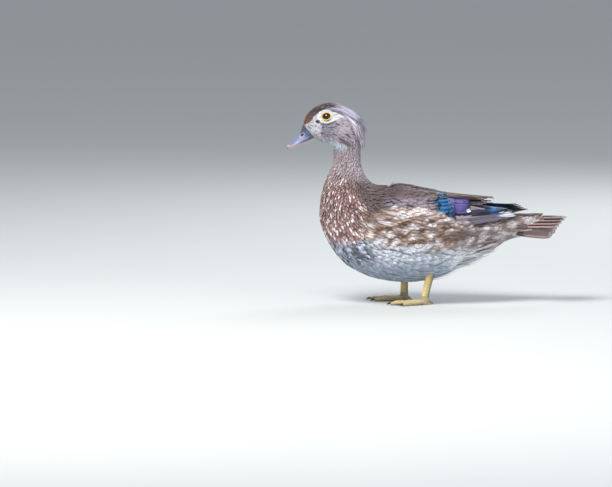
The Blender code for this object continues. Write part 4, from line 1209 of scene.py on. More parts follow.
def shoulder_coat(finish):
    """The scapulars and the small coverts, which cover the front and the top of each folded wing."""
    def kept(s, a):
        u, v = wing_share(s, a)
        end = np.interp(v, (-0.3, 0.25, 0.45, 1.0), (0.48, 0.44, 0.36, 0.30))
        return (u > -0.06) & (u < end) & (v < 0.95)

    draw = np.random.default_rng(72)
    s, a = on_both_sides((3.2, 8.6), (3, 72), 0.0026, 71, 60000, kept)
    u, v = wing_share(s, a)
    size = np.interp(u, (0.0, 0.4), (0.0125, 0.0185)) * np.interp(v, (0.3, 0.7), (1.0, 0.85))
    lift = np.interp(u, (-0.06, 0.10, 0.5), (0.0004, 0.0030, 0.0042))
    lift = lift * np.interp(v, (-0.1, 0.15, 0.75, 0.95), (0.4, 1.0, 1.0, 0.6))
    bunch = Feathers(BODY_CUT, s, a, size * draw.uniform(0.85, 1.15, len(s)), size * 0.26, lift - 0.0009,
                     lift * draw.uniform(0.85, 1.15, len(s)), draw.normal(0, 5, len(s)))
    plain_piece("shoulder_coat", bunch, draw, finish, "wing_feathers")


def flank_coat(finish):
    """The long flank feathers, which lie up over the wing's lower front edge."""
    def kept(s, a):
        top = np.interp(s, (2.3, 3.2, 4.0, 4.6, 6.0, 7.5, 8.0), (86, 78, 66, 56, 52, 56, 60))
        return (np.abs(a) > top) & (np.abs(a) < np.interp(s, (2.3, 8.0), (106, 100)))

    draw = np.random.default_rng(82)
    s, a = on_both_sides((2.3, 8.0), (50, 106), 0.0025, 81, 90000, kept)
    up = np.interp(np.abs(a), (50, 58, 66, 78, 92), (0.0092, 0.0096, 0.0080, 0.0046, 0.0016))
    up = up * np.interp(s, (2.3, 3.6, 7.0, 8.0), (0.75, 1.0, 0.9, 0.25))
    size = np.interp(s, (2.3, 4, 8), (0.018, 0.020, 0.014)) * draw.uniform(0.8, 1.2, len(s))
    bunch = Feathers(BODY_CUT, s, a, size, size * 0.165, up * 0.80 - 0.0008,
                     up * draw.uniform(0.92, 1.08, len(s)) + 0.0003, draw.normal(-3, 7, len(s)), mass=False)
    plain_piece("flank_coat", bunch, draw, finish, "body_feathers")


def tail_root_coat(finish):
    """The coverts round the tail's root, above, below and at its sides."""
    draw = np.random.default_rng(86)
    s, a = scattered((0.42, 1.7), ALL_ROUND, even_gap(0.0027), 87, 30000)
    size = np.interp(s, (0.4, 1.7), (0.0135, 0.0155)) * draw.uniform(0.85, 1.15, len(s))
    lift = np.interp(s, (0.4, 1.0, 1.7), (0.0026, 0.0016, 0.0006))
    bunch = Feathers(BODY_CUT, s, a, size, size * 0.20, lift - 0.0014, lift, draw.normal(0, 6, len(s)),
                     mass=False)
    plain_piece("tail_root_coat", bunch, draw, finish, "tail_feathers")


# Loose tufts. A row gives how many feathers, the place of the middle one's root, how far roots spread,
# the middle one's tip, and the length of the spread there. A place is a station, an angle and a height.
TUFTS = (
    (16, (3.55, -150, -0.001), (0.18, 12), (2.75, -150, 0.0050)),
    (14, (3.05, -146, -0.001), (0.16, 10), (2.20, -144, 0.0062)),
    (12, (2.70, -136, -0.001), (0.16, 10), (1.85, -132, 0.0058)),
    (16, (3.55, 150, -0.001), (0.18, 12), (2.75, 150, 0.0050)),
    (14, (3.05, 146, -0.001), (0.16, 10), (2.20, 144, 0.0062)),
    (12, (2.70, 136, -0.001), (0.16, 10), (1.85, 132, 0.0058)),
    (18, (4.60, 178, -0.001), (0.50, 24), (3.75, 178, 0.0030)),
    (9, (6.55, -4, 0.001), (0.05, 3), (6.10, -6, 0.0060)),
)


def wisps(draw, start, end, half_width, rest=0.7, spread=0.12):
    """Loose thin feathers from start to end, with their colours and their places on the unwrap."""
    bunch = Feathers(HAIR_CUT, start[:, 0], start[:, 1], 0.0, half_width, start[:, 2], end[:, 2],
                     end=(end[:, 0], end[:, 1]), mass=False)
    patch = skin_place(start[:, 0], start[:, 1]), FEATHER_PATCH
    return bunch, coat_paint(bunch, draw, spread, rest=rest), patch


def tuft_coat(finish):
    """Wisps that stand off the vent and the belly, and a small tuft on the back."""
    draw = np.random.default_rng(95)
    tufts = []
    for count, root, roam, tip in TUFTS:
        start = np.array(root) + draw.normal(0, 1, (count, 3)) * (*roam, 0.0002)
        end = np.array(tip) + (start - root) * 0.8 + draw.normal(0, 1, (count, 3)) * (0.12, 3.0, 0.0010)
        end[:, 2] = np.clip(end[:, 2], 0.0006, 0.0085)
        tufts.append(wisps(draw, start, end, 0.0013 * draw.uniform(0.7, 1.2, count)))
    belongs(join_feathers("tufts", *zip(*tufts), finish), "body_feathers")


# The folded wing. A row gives how many feathers, the root and the tip of the lowest, the root and the
# tip of the highest, half the width, and the tilt that lays each over the next one below. A place is x
# behind the wing's front, an angle off the back's middle and a height above the body.
WING_TIERS = {
    "primaries": (10, (0.006, 82, 0.0014), (0.115, 44, 0.0046), (0.034, 50, 0.0034), (0.100, 29, 0.0100),
                  0.0052),
    "edged primaries": (4, (0.040, 41, 0.0046), (0.1125, 49, 0.0068), (0.044, 29, 0.0058),
                        (0.106, 35, 0.0096), 0.0035),
    "secondaries": (12, (0.000, 53, 0.0034), (0.0535, 47, 0.0070), (0.002, 14, 0.0030),
                    (0.054, 12.5, 0.0088), 0.0046),
    "inner secondaries": (6, (0.040, 24, 0.0062), (0.066, 34, 0.0094), (0.046, 14, 0.0066),
                          (0.080, 24, 0.0114), 0.0021),
    "greater coverts": (9, (-0.010, 68, 0.0040), (0.034, 63, 0.0072), (-0.016, 16, 0.0036),
                        (0.0245, 12, 0.0074), 0.0056),
    "median coverts": (10, (-0.034, 58, 0.0040), (0.013, 58, 0.0074), (-0.030, 22, 0.0040),
                       (0.010, 17, 0.0078), 0.0058),
    "tertials": (5, (-0.006, 13, 0.0034), (0.068, 19, 0.0110), (-0.004, 6, 0.0036), (0.0785, 11, 0.0150),
                 0.0036),
}
WING_TIP_SHIFT = {-1: (0.0, 0.0, 0.0), 1: (0.012, -6.0, 0.0050)}
WING_CUTS = {
    "primaries": POINTED_CUT, "edged primaries": POINTED_CUT, "secondaries": FLIGHT_CUT,
    "inner secondaries": POINTED_CUT, "greater coverts": BROAD_CUT, "median coverts": BROAD_CUT,
    "tertials": POINTED_CUT,
}
WING_MARKED = {"secondaries": (0, 1)}    # those with white tips
# From this feather up, both webs look as the upper one.
WING_PLAIN_FROM = {"primaries": 7, "edged primaries": 3, "median coverts": 5}


def wing_tier(name, side, draw):
    count, first_root, first_tip, last_root, last_tip, half_width = WING_TIERS[name]
    share = np.linspace(0, 1, count)[:, None]
    root, tip = between(first_root, last_root, share), between(first_tip, last_tip, share)
    tip[:, 1] += draw.uniform(-0.7, 0.7, count)
    tip[:, 0] += (tip[:, 0] - root[:, 0]) * draw.uniform(-0.03, 0.03, count)
    if name == "primaries":
        tip += WING_TIP_SHIFT[side]
    return Feathers(
        WING_CUTS[name], station_at(root[:, 0]), root[:, 1] * side, 0.0,
        half_width * draw.uniform(0.95, 1.05, count), root[:, 2], tip[:, 2],
        end=(station_at(tip[:, 0]), tip[:, 1] * side), tilt=0.0007, mass=False,
    )


def own_cells(count):
    """Patches of the unwrap that large feathers have to themselves, side by side."""
    centre = np.stack([(np.arange(count) + 0.5) / count, np.full(count, 0.5)], -1)
    return centre, (0.9 / count, 0.96)


def build_wing(word, side, finishes):
    draw = np.random.default_rng(90 + side)
    first = True
    for name in WING_TIERS:
        bunch = wing_tier(name, side, draw)
        count = bunch.count
        ground = np.ones((count, 3)) * draw.uniform(0.9, 1.1, (count, 1))
        order = np.arange(count)
        marked = np.isin(order, WING_MARKED.get(name, ())).astype(float)
        plain = (order >= WING_PLAIN_FROM.get(name, count)).astype(float)
        paint = (ground, ground * 0.2, marked, plain, draw.uniform(0, 1, count))
        piece = join_feathers(f"{name.replace(' ', '_')}_{word}", [bunch], [paint], [own_cells(count)],
                              finishes[name])
        belongs(piece, "wing_feathers", *(("wing_" + word,) if first else ()))
        first = False


# Tail feathers in pairs: how many, root and tip of the middle pair, root and tip of the outer pair, half
# the width, and how far the middle and the outer pair lean outwards. A place is x behind the body, y, z.
TAIL_TIERS = {
    "tail feathers": (
        7, (0.005, 0.0015, 0.1055), (0.067, 0.0050, 0.1082),
        (0.005, 0.0100, 0.0905), (0.050, 0.0340, 0.0887), 0.0086, (8, 48)),
    "upper tail coverts": (
        9, (0.000, 0.0018, 0.1100), (0.023, 0.0045, 0.1112),
        (0.000, 0.0110, 0.0960), (0.021, 0.0180, 0.0960), 0.0036, (8, 58)),
    "under tail coverts": (
        8, (0.000, 0.0020, 0.0880), (0.032, 0.0040, 0.0850),
        (0.000, 0.0110, 0.0920), (0.028, 0.0190, 0.0905), 0.0036, (-8, -44)),
    "inner tail coverts": (
        7, (0.000, 0.0020, 0.0940), (0.036, 0.0040, 0.0945),
        (0.000, 0.0100, 0.0935), (0.030, 0.0170, 0.0915), 0.0040, (-6, -40)),
    "deep tail coverts": (
        7, (0.000, 0.0020, 0.1000), (0.040, 0.0045, 0.1010),
        (0.000, 0.0100, 0.0950), (0.032, 0.0180, 0.0930), 0.0044, (4, 30)),
}
TAIL_CURVE, TAIL_BOW = 1.15, 0.0015


def tail_tier(name, cut, draw):
    """The feathers of one tier on both sides, the outer ones lower, each bowed a little."""
    pairs, middle_root, middle_tip, outer_root, outer_tip, half_width, leans = TAIL_TIERS[name]
    start = np.array([STATIONS[1][0] - 0.00015, 0, 0]) + SHIFT
    laid, flips = [], []
    t, v = cut.along[:, None, None], cut.across[None, :, None]
    lengths = (0.975, 1.02) if name == "tail feathers" else (0.70, 1.10)
    for side in (-1, 1):
        for k in range(pairs):
            out = k / (pairs - 1)
            root = between(middle_root, outer_root, out)
            tip = between(middle_tip, outer_tip, np.array([out**TAIL_CURVE, out, out**TAIL_CURVE]))
            mirrored = np.array([1, side, 1])
            root, tip = root * mirrored + start, tip * mirrored + start
            tip = root + (tip - root) * draw.uniform(*lengths)
            lean = math.radians(side * (leans[0] + (leans[1] - leans[0]) * out))
            face = np.array([0.0, math.sin(lean), math.cos(lean)])
            across = np.array([0.0, math.cos(lean), -math.sin(lean)])
            reach = (cut.width * half_width * draw.uniform(0.95, 1.05))[:, None, None] * v
            bow = TAIL_BOW * np.sin(math.pi * t) - cut.camber * v ** 2
            if name.startswith(("under", "inner")):
                bow = -bow
            rise = bow + cut.layer[None, :, None] * cut.thickness
            laid.append(root + (tip - root) * t + across * reach + face * rise)
            flips.append(side)
    return PlacedFeathers(cut, laid, flips)


# The tail's fleshy root, between the feathers: x behind the body, height, half its height, half its width.
TAIL_ROOT = (
    (-0.003, 0.0950, 0.0090, 0.0080), (0.006, 0.0945, 0.0085, 0.0078), (0.020, 0.0945, 0.0072, 0.0115),
    (0.030, 0.0940, 0.0050, 0.0120), (0.038, 0.0938, 0.0012, 0.0040),
)


def build_tail(finishes):
    table = rows_at(np.array(TAIL_ROOT), np.linspace(0, len(TAIL_ROOT) - 1, 25))
    turn = 2 * math.pi * np.arange(32) / 32
    rings = []
    for x, z, tall, wide in table:
        place = np.array((STATIONS[1][0] + x, 0.0, z)) + SHIFT
        rings.append(place + np.stack([0 * turn, wide * np.sin(turn), tall * np.cos(turn)], -1))
    belongs(drawn_out("tail_root", rings, finishes["root"])[0], "tail_feathers")

    draw = np.random.default_rng(110)
    for row, name in enumerate(TAIL_TIERS):
        cut = FLIGHT_CUT if name == "tail feathers" else BROAD_CUT
        bunch = tail_tier(name, cut, draw)
        count = bunch.count
        if name in ("under tail coverts", "inner tail coverts", "deep tail coverts"):
            ground = np.array((0.36, 0.29, 0.28)) * draw.uniform(0.6, 1.3, (count, 1))
            second = np.array((0.62, 0.56, 0.56)) * np.ones((count, 1))
        else:
            ground = np.array((0.110, 0.070, 0.072)) * draw.uniform(0.8, 1.25, (count, 1))
            second = np.array((0.22, 0.17, 0.17)) * np.ones((count, 1))
        paint = (ground, second, np.full(count, 0.15), np.full(count, 0.5), draw.uniform(0, 1, count))
        finish = finishes["tail"] if name == "tail feathers" else finishes["coat"]
        piece = join_feathers(name.replace(" ", "_"), [bunch], [paint], [own_cells(count)], finish)
        belongs(piece, "tail_feathers", *(("tail",) if row == 0 else ()))


# The crest. A row gives how many feathers, the root and the tip of the first, the root and the tip of
# the last, and half the width. A place is a station, an angle and a height above the body.
CREST_TIERS = (
    (24, (19.0, -40, -0.0008), (17.1, -48, 0.0030), (19.0, 40, -0.0008), (17.1, 48, 0.0030), 0.0017),
    (28, (18.5, -46, -0.0008), (16.7, -50, 0.0062), (18.5, 46, -0.0008), (16.7, 50, 0.0062), 0.0017),
    (28, (18.0, -50, -0.0008), (16.1, -54, 0.0066), (18.0, 50, -0.0008), (16.1, 54, 0.0066), 0.0017),
    (28, (17.5, -52, -0.0008), (15.5, -54, 0.0058), (17.5, 52, -0.0008), (15.5, 54, 0.0058), 0.0016),
    (24, (16.9, -44, -0.0008), (14.8, -38, 0.0062), (16.9, 44, -0.0008), (14.8, 38, 0.0062), 0.0015),
)


def build_crest(finish):
    draw = np.random.default_rng(130)
    tiers = []
    for count, first_root, first_tip, last_root, last_tip, half_width in CREST_TIERS:
        share = np.linspace(0, 1, count)[:, None]
        root, tip = between(first_root, last_root, share), between(first_tip, last_tip, share)
        root += draw.normal(0, 1, root.shape) * (0.16, 1.4, 0.0002)
        tip += draw.normal(0, 1, tip.shape) * (0.14, 2.0, 0.0006)
        tiers.append(wisps(draw, root, tip, half_width * draw.uniform(0.8, 1.15, count), 0.3, 0.14))
    return belongs(join_feathers("crest", *zip(*tiers), finish), "head_feathers")


def mouth_height(x):
    """The height of the mouth's line at x, in the part's own frame."""
    share = (x - MOUTH_CORNER[0]) / (MOUTH_TIP[0] - MOUTH_CORNER[0])
    return MOUTH_CORNER[2] + (MOUTH_TIP[2] - MOUTH_CORNER[2]) * share


BILL_ARC = 61
NOSTRIL, NOSTRIL_DEPTH = (-0.1549, 0.2106), 0.0016
# How far the bill's sides sink and its rims and nail rise, by station.
BILL_HOLLOW = ((0, 1, 3, 5), (0.0, 0.0007, 0.0004, 0.0))
BILL_NAIL = ((3.7, 3.95, 4.7, 5), (0.0, 0.0005, 0.0005, 0.0))
UPPER_RIM = ((0, 1, 4, 5), (0.0, 0.0004, 0.0003, 0.0))
LOWER_RIM = ((0, 1, 4, 5), (0.0, 0.0003, 0.0003, 0.0))


def build_bill(finish):
    """Upper and lower bill, each a half of the bill's loft closed along the mouth's line."""
    last = len(BILL) - 1
    stations = np.concatenate([np.linspace(0, 2, 44), np.linspace(2, last, 44)[1:]])
    turns = np.linspace(-1, 1, BILL_ARC)
    for name, up in (("bill_upper", 1), ("bill_lower", -1)):
        rings = []
        for s in stations:
            full = shell(BILL, np.full(721, s), np.linspace(-180, 180, 721)) - SHIFT
            side = full[full[:, 2] * up > (mouth_height(full[:, 0]) + 0.00010 * up) * up]
            side = side[np.argsort(np.arctan2(side[:, 1], (side[:, 2] - side[:, 2].mean()) * up))]
            lengths = np.concatenate([[0], np.cumsum(np.linalg.norm(np.diff(side, axis=0), axis=1))])
            wanted = np.linspace(0, lengths[-1], BILL_ARC)
            arc = np.stack([np.interp(wanted, lengths, side[:, k]) for k in range(3)], -1)
            arc = bill_relief(arc, s, turns, up)
            floor = arc[::-1][1:-1].copy()
            floor[:, 2] = mouth_height(floor[:, 0]) + 0.0001 * up
            floor[:, 1] *= 0.94
            rings.append(np.concatenate([arc, floor]) + SHIFT)
        piece, _ = drawn_out(name + "_horn", rings, finish, 60)
        places = np.array([vertex.co for vertex in piece.data.vertices]) - SHIFT
        for mask, values in bill_masks(places, up).items():
            layer = piece.data.attributes.new(mask, "FLOAT", "POINT")
            layer.data.foreach_set("value", np.clip(values, 0, 1).astype(np.float32))
        belongs(piece, "bill_horn", name)


def bill_relief(arc, station, turns, up):
    """Sinks the sides and the nostrils of the upper bill, and raises its rim and its nail."""
    arc = arc.copy()
    out, off = np.sign(arc[:, 1]), np.abs(turns)
    if up > 0:
        hollow = np.exp(-((off - 0.50) / 0.20) ** 2) * np.interp(station, *BILL_HOLLOW)
        pit = np.exp(-(nostril_distance(arc) / 1.0) ** 4) * NOSTRIL_DEPTH
        rim = np.exp(-((off - 0.90) / 0.07) ** 2) * np.interp(station, *UPPER_RIM)
        arc[:, 1] += out * (rim - hollow - pit)
        arc[:, 2] += np.exp(-(off / 0.42) ** 4) * np.interp(station, *BILL_NAIL)
    else:
        arc[:, 1] += out * (np.exp(-((off - 0.88) / 0.08) ** 2) * np.interp(station, *LOWER_RIM))
    return arc


def nostril_distance(places):
    """1 on the nostril's rim: a slit that slopes with the bill."""
    x, z = (places[:, 0] - NOSTRIL[0]) * 1000, (places[:, 2] - NOSTRIL[1]) * 1000
    ahead, above = x * 0.80 + z * 0.60, z * 0.80 - x * 0.60
    return np.hypot(ahead / 2.5, above / 1.35)


def bill_masks(places, up):
    """Where the bill is dusky, rosy and combed, and where its nostril is."""
    x, z = places[:, 0] * 1000, places[:, 2] * 1000
    above_mouth = z - mouth_height(places[:, 0]) * 1000
    from_face = -(x + 0.82 * (z - 206.0) + 139.4)
    base = ramp(9.0 - from_face, 0, 6) * ramp(above_mouth, 3.5, 6)
    base = base * (0.80 + 0.35 * np.cos(from_face * 2 * math.pi / 4.4))
    ridge = ramp(x, -160, 12) * ramp(above_mouth, 11, 6)
    tip = ramp(-x, 172.6, 1.6) * ramp(1.3 - above_mouth, 0, 1.0)
    face_line = 0.5 * ramp(x, -146.0, 3)
    nail = ramp(-x, 170.8, 1.6)
    seam = ramp(0.7 - np.abs(above_mouth), 0, 0.5)
    if up > 0:
        rosy = ramp(1.5 - above_mouth, 0, 1.6) * ramp(-x, 156, 10) + nail * 0.85
        rosy = rosy * (1 - tip)
        comb = ramp(2.2 - above_mouth, 0, 0.8) * ramp(x, -156, 5)
        comb = comb * ramp(-x, 143, 4) * 0.8
        nostril = ramp(1.0 - nostril_distance(places), 0.05, 0.35)
        rim = ramp(1.6 - nostril_distance(places), 0, 0.4) * 0.6
        return {"shade": np.maximum(base, 0.9 * ridge) + face_line + 0.8 * seam + tip, "rosy": rosy + rim,
                "nostril": nostril, "comb": comb}
    return {"shade": 0.5 * seam + tip, "rosy": 0.85 * (1 - ramp(-x, 171.5, 1.5)), "nostril": 0 * x,
            "comb": 0 * x}


def build_eye(word, side, finish, lid_finish):
    """An eye set in the face, and its yellow lid."""
    surface, look = eye_place(side)
    centre = surface - look * (EYE_RADIUS - EYE_BULGE)
    eye = ball_at_origin("eye_ball_" + word, EYE_RADIUS, finish)
    turn = Vector((0, 0, 1)).rotation_difference(Vector(look)).to_matrix().to_4x4()
    gaze = eye.data.uv_layers.new(name="gaze")
    for loop in eye.data.loops:
        co = eye.data.vertices[loop.vertex_index].co
        beyond = 1.0 if co.z > 0 else 4.0
        gaze.data[loop.index].uv = (0.5 + co.x / EYE_RADIUS * 0.5 * beyond,
                                    0.5 + co.y / EYE_RADIUS * 0.5 * beyond)
    eye.data.transform(turn)
    eye.data.transform(Matrix.Translation(Vector(centre)))
    belongs(eye, "eye", "eye_" + word)

    lid = added("eyelid_" + word, bpy.ops.mesh.primitive_torus_add, major_segments=64, minor_segments=12,
                major_radius=0.0056, minor_radius=0.00062)
    for vertex in lid.data.vertices:
        away = math.hypot(vertex.co.x, vertex.co.y)
        vertex.co.z -= 1.9 * (away - 0.0052) ** 2 * 100
    lid.data.transform(turn)
    # The opening is an ellipse, longer fore and aft, that narrows to its corners.
    flat = Vector(look)
    ahead = Vector((1, 0, 0)) - flat * flat.x
    ahead.normalize()
    above = flat.cross(ahead).normalized()
    for vertex in lid.data.vertices:
        forward, up, out = vertex.co.dot(ahead), vertex.co.dot(above), vertex.co.dot(flat)
        forward *= 1.07
        up *= 0.90 * (1 - 0.08 * (forward / 0.0060) ** 2)
        vertex.co = ahead * forward + above * up + flat * out
    lid.data.transform(Matrix.Translation(Vector(surface + look * 0.0004)))
    bpy.ops.object.shade_smooth()
    lid.data.materials.append(lid_finish)
    belongs(lid, "eye")


# Legs and feet: the same stance and sizes as the solids.
STANCE = {"left": (0.0050, -0.0022), "right": (-0.0262, -0.0268)}
HIP_HEIGHT, KNEE_HEIGHT, ANKLE_HEIGHT = 0.064, 0.052, 0.040
SHANK_RADIUS, SHANK_NARROWING = 0.0042, 0.66
FOOT_SPREAD, FOOT_TURN = 0.0275, 9
SOLE, SOLE_TOP, JOINT_HEIGHT = 0.0002, 0.0094, 0.0052
TOE_RADIUS, WEB_TOP, WEB_NOTCH = 0.0028, 0.0012, 0.76
HIND_TOE_LENGTH, HIND_TOE_TURN = 0.0125, 29
TOES = ((-27, 0.038), (0, 0.048), (25, 0.044))


def tube_rings(points, radii, size=16, squash=1.0, relief=None, low=None):
    """Rings round a line. relief(share, turn) swells them, and low keeps them off the floor."""
    points = np.array([tuple(p) for p in points], float)
    rings = []
    for i, point in enumerate(points):
        along = points[min(i + 1, len(points) - 1)] - points[max(i - 1, 0)]
        along = along / np.linalg.norm(along)
        side = np.cross(along, (0.0, 1.0, 0.0))
        side = side / np.linalg.norm(side) if np.linalg.norm(side) > 0.05 else np.array((1.0, 0.0, 0.0))
        other = np.cross(along, side)
        turn = 2 * math.pi * np.arange(size) / size
        swell = np.ones(size) if relief is None else relief(i / (len(points) - 1), turn)
        around = side * np.cos(turn)[:, None] + other * squash * np.sin(turn)[:, None]
        ring = point + radii[i] * swell[:, None] * around
        if low is not None:
            ring[:, 2] = np.maximum(ring[:, 2], low)
        rings.append(ring + SHIFT)
    return rings


def smooth_line(points, values, steps):
    """A finer line through points, and values that go with them."""
    table = np.array([(*p, v) for p, v in zip(points, values)], float)
    fine = rows_at(table, np.linspace(0, len(points) - 1, steps))
    return fine[:, :3], fine[:, 3]


def tube(name, line, radii, steps, finish, size, **shape):
    """A closed tube along a smooth line, with as many points round each ring as the size."""
    points, radii = smooth_line(line, radii, steps)
    return drawn_out(name, tube_rings(points, radii, size, **shape), finish)[0]


def scutes(count, depth):
    """Rows of plates across the front of a shank or along a toe."""
    def relief(share, turn):
        step = (share * count) % 1.0
        front = 0.5 + 0.5 * np.cos(turn)
        grain = (1 - front) * 0.25 * np.sin(turn * 6 + share * 60)
        return 1 + depth * (front**2 * (step**0.6 - 0.6) * 1.2 + grain)
    return relief


def build_leg(word, side, finishes):
    """The feathered thigh and the bare, scaled shank."""
    ankle, foot = STANCE[word]
    y = side * FOOT_SPREAD
    line = [(ankle + 0.014, y * 0.90, HIP_HEIGHT + 0.004), (ankle + 0.012, y * 0.92, HIP_HEIGHT),
            (ankle + 0.006, y * 0.97, KNEE_HEIGHT), (ankle, y, ANKLE_HEIGHT + 0.002),
            (ankle, y, ANKLE_HEIGHT - 0.001)]
    points, radii = smooth_line(line, (0.0150, 0.0148, 0.0112, 0.0052, 0.0040), 24)
    thigh, _ = drawn_out("thigh_" + word, tube_rings(points, radii, 28), finishes["thigh"])
    belongs(thigh, "body_feathers", "leg_" + word)
    thigh_feathers(word, points, radii, finishes["coat"])

    line, swell = [(ankle, y, ANKLE_HEIGHT + 0.005)], [1.0]
    for share, value in ((0.0, 1.36), (0.25, 1.22), (0.6, 1.10), (0.85, 1.12), (1.0, 1.22)):
        line.append((ankle + (foot - ankle) * share, y,
                     ANKLE_HEIGHT + (SOLE_TOP - 0.001 - ANKLE_HEIGHT) * share))
        swell.append(value)
    shank = tube("shank_" + word, line, [SHANK_RADIUS * s for s in swell], 90, finishes["leg"], 28,
                 squash=SHANK_NARROWING, relief=scutes(15, 0.07))

    def dusk(co):
        share = (ANKLE_HEIGHT - co.z) / (ANKLE_HEIGHT - SOLE_TOP)
        middle = ankle + (foot - ankle) * share + SHIFT[0]
        return 0.12 + (co.x - middle) / (SHANK_RADIUS * 1.5)

    shade_by(shank, dusk)
    belongs(shank, "leg_scales")


THIGH_TOP, THIGH_PAINTED_SHADE = (0.60, 0.60, 0.64), (0.36, 0.31, 0.29)


def thigh_feathers(word, points, radii, finish):
    """Small white feathers down the thigh, set round a surface of its own, darker towards the ankle as
    painted shade under the belly.
    """
    line = np.array(points)

    def level(degrees):
        turn = np.radians(degrees)
        return np.stack([np.cos(turn), np.sin(turn), np.zeros_like(turn)], -1)

    def surface(stations, angles):
        """Stations run from the hip, 0, to the ankle, 1, both counted backwards like the body's."""
        stations, angles = np.broadcast_arrays(np.asarray(stations, float), np.asarray(angles, float))
        place = np.clip(1 - stations, 0, 1) * (len(line) - 1)

        def at(share, degrees):
            share = np.clip(share, 0, len(line) - 1)
            k = np.clip(np.floor(share).astype(int), 0, len(line) - 2)
            t = share - k
            centre = line[k] + (line[k + 1] - line[k]) * t[..., None]
            reach = radii[k] + (radii[k + 1] - radii[k]) * t
            return centre + level(degrees) * reach[..., None] + SHIFT

        point = at(place, angles)
        along = (at(place - 0.2, angles) - at(place + 0.2, angles)) / 0.4 * (len(line) - 1)
        around = (at(place, angles + 2) - at(place, angles - 2)) / 4
        normal = unit(np.cross(around, along))
        normal = normal * np.sign(np.sum(normal * level(angles), -1, keepdims=True))
        return point, normal, along, around

    draw = np.random.default_rng(150 + len(word))
    rows, around = 15, 30
    stations, angles = np.meshgrid(np.linspace(0.98, 0.20, rows), np.arange(around) * 360 / around)
    stations = (stations + draw.uniform(-0.025, 0.025, stations.shape)).ravel()
    angles = (angles + draw.uniform(-6, 6, angles.shape)).ravel()
    count = len(stations)
    size = 0.0040 + 0.0045 * stations
    bunch = Feathers(BODY_CUT, stations, angles, 0.0, size * 0.26, -0.0006, 0.0007,
                     end=(np.maximum(stations - size / 0.028, 0.02),
                          angles + draw.uniform(-8, 8, count)), surface=surface, mass=False)
    # Painted shade: the feathers darken from white at the top to grey-brown low down, where the belly shades
    # the thigh.
    high = np.clip((bunch.root[:, 2] - 0.040) / 0.014, 0, 1)[:, None]
    ground = np.array(THIGH_PAINTED_SHADE) * (1 - high) + np.array(THIGH_TOP) * high
    ground = ground * draw.uniform(0.85, 1.1, (count, 1))
    paint = (ground, np.ones((count, 3)) * 0.75, np.full(count, 0.2), np.full(count, 0.3),
             draw.uniform(0, 1, count))
    centre = np.stack([(angles % 360) / 360, stations], -1)
    belongs(join_feathers("thigh_feathers_" + word, [bunch], [paint], [(centre, FEATHER_PATCH)], finish),
            "body_feathers")


def heading(side, spread):
    """The level way that points a given angle outwards from the foot's own line."""
    turn = math.radians(180 + side * (spread - FOOT_TURN))
    return np.array((math.cos(turn), math.sin(turn), 0.0))


def build_toe(name, joint, way, length, finishes):
    """A toe with its pads and plates, and its claw."""
    shares = (0.0, 0.16, 0.36, 0.52, 0.72, 0.86, 0.90)
    heights = (0.0046, 0.0036, 0.0029, 0.0025, 0.0024, 0.0022, 0.0021)
    swells = (1.35, 1.05, 1.18, 0.94, 1.05, 0.78, 0.5)
    line = [np.array((joint[0], joint[1], z)) + way * length * s for s, z in zip(shares, heights)]
    top = scutes(18, 0.06)
    toe = tube(name, line, [TOE_RADIUS * s for s in swells], 56, finishes["foot"], 18,
               relief=lambda share, turn: top(share, turn + math.pi), low=SOLE)
    shade_by(toe, lambda co: 0.35 + (0.003 - co.z) * 120)
    line = [line[-1] - way * 0.002 + (0, 0, 0.0004), joint + way * length * 0.95, joint + way * length]
    line[1][2], line[2][2] = 0.0026, 0.0007
    return toe, tube(name + "_claw", line, (0.0014, 0.0011, 0.0002), 12, finishes["claw"], 12, low=SOLE)


def build_web(name, joint, first, second, finish):
    """The skin between two toes: hollow at its front edge, sagging a little, with faint folds."""
    (way_a, length_a), (way_b, length_b) = first, second
    web = added(name, bpy.ops.mesh.primitive_grid_add, x_subdivisions=22, y_subdivisions=26, size=2.0)
    for vertex in web.data.vertices:
        u, v = (vertex.co.x + 1) / 2, (vertex.co.y + 1) / 2
        way = way_a * (1 - u) + way_b * u
        way = way / np.linalg.norm(way)
        length = length_a * (1 - u) + length_b * u
        reach = length * (0.86 - (0.86 - WEB_NOTCH) * math.sin(math.pi * u) ** 0.8)
        fold = 0.00012 * math.sin(u * math.pi * 7) * v
        place = joint + way * (0.002 + (reach - 0.002) * v) + SHIFT
        vertex.co = (place[0], place[1],
                     WEB_TOP + 0.0011 * (1 - v) + fold + 0.0003 * (1 - math.sin(math.pi * u)))
    bpy.ops.object.mode_set(mode="EDIT")
    bpy.ops.mesh.select_all(action="SELECT")
    bpy.ops.mesh.normals_make_consistent(inside=False)
    bpy.ops.object.mode_set(mode="OBJECT")
    if web.data.polygons[0].normal.z < 0:
        web.data.flip_normals()
    thick = web.modifiers.new("thickness", "SOLIDIFY")
    thick.thickness, thick.offset = 0.0009, -1.0
    bpy.ops.object.modifier_apply(modifier="thickness")
    bpy.ops.object.shade_smooth_by_angle(angle=math.radians(40))
    web.data.materials.append(finish)
    shade_by(web, lambda co: 0.75)
    return web


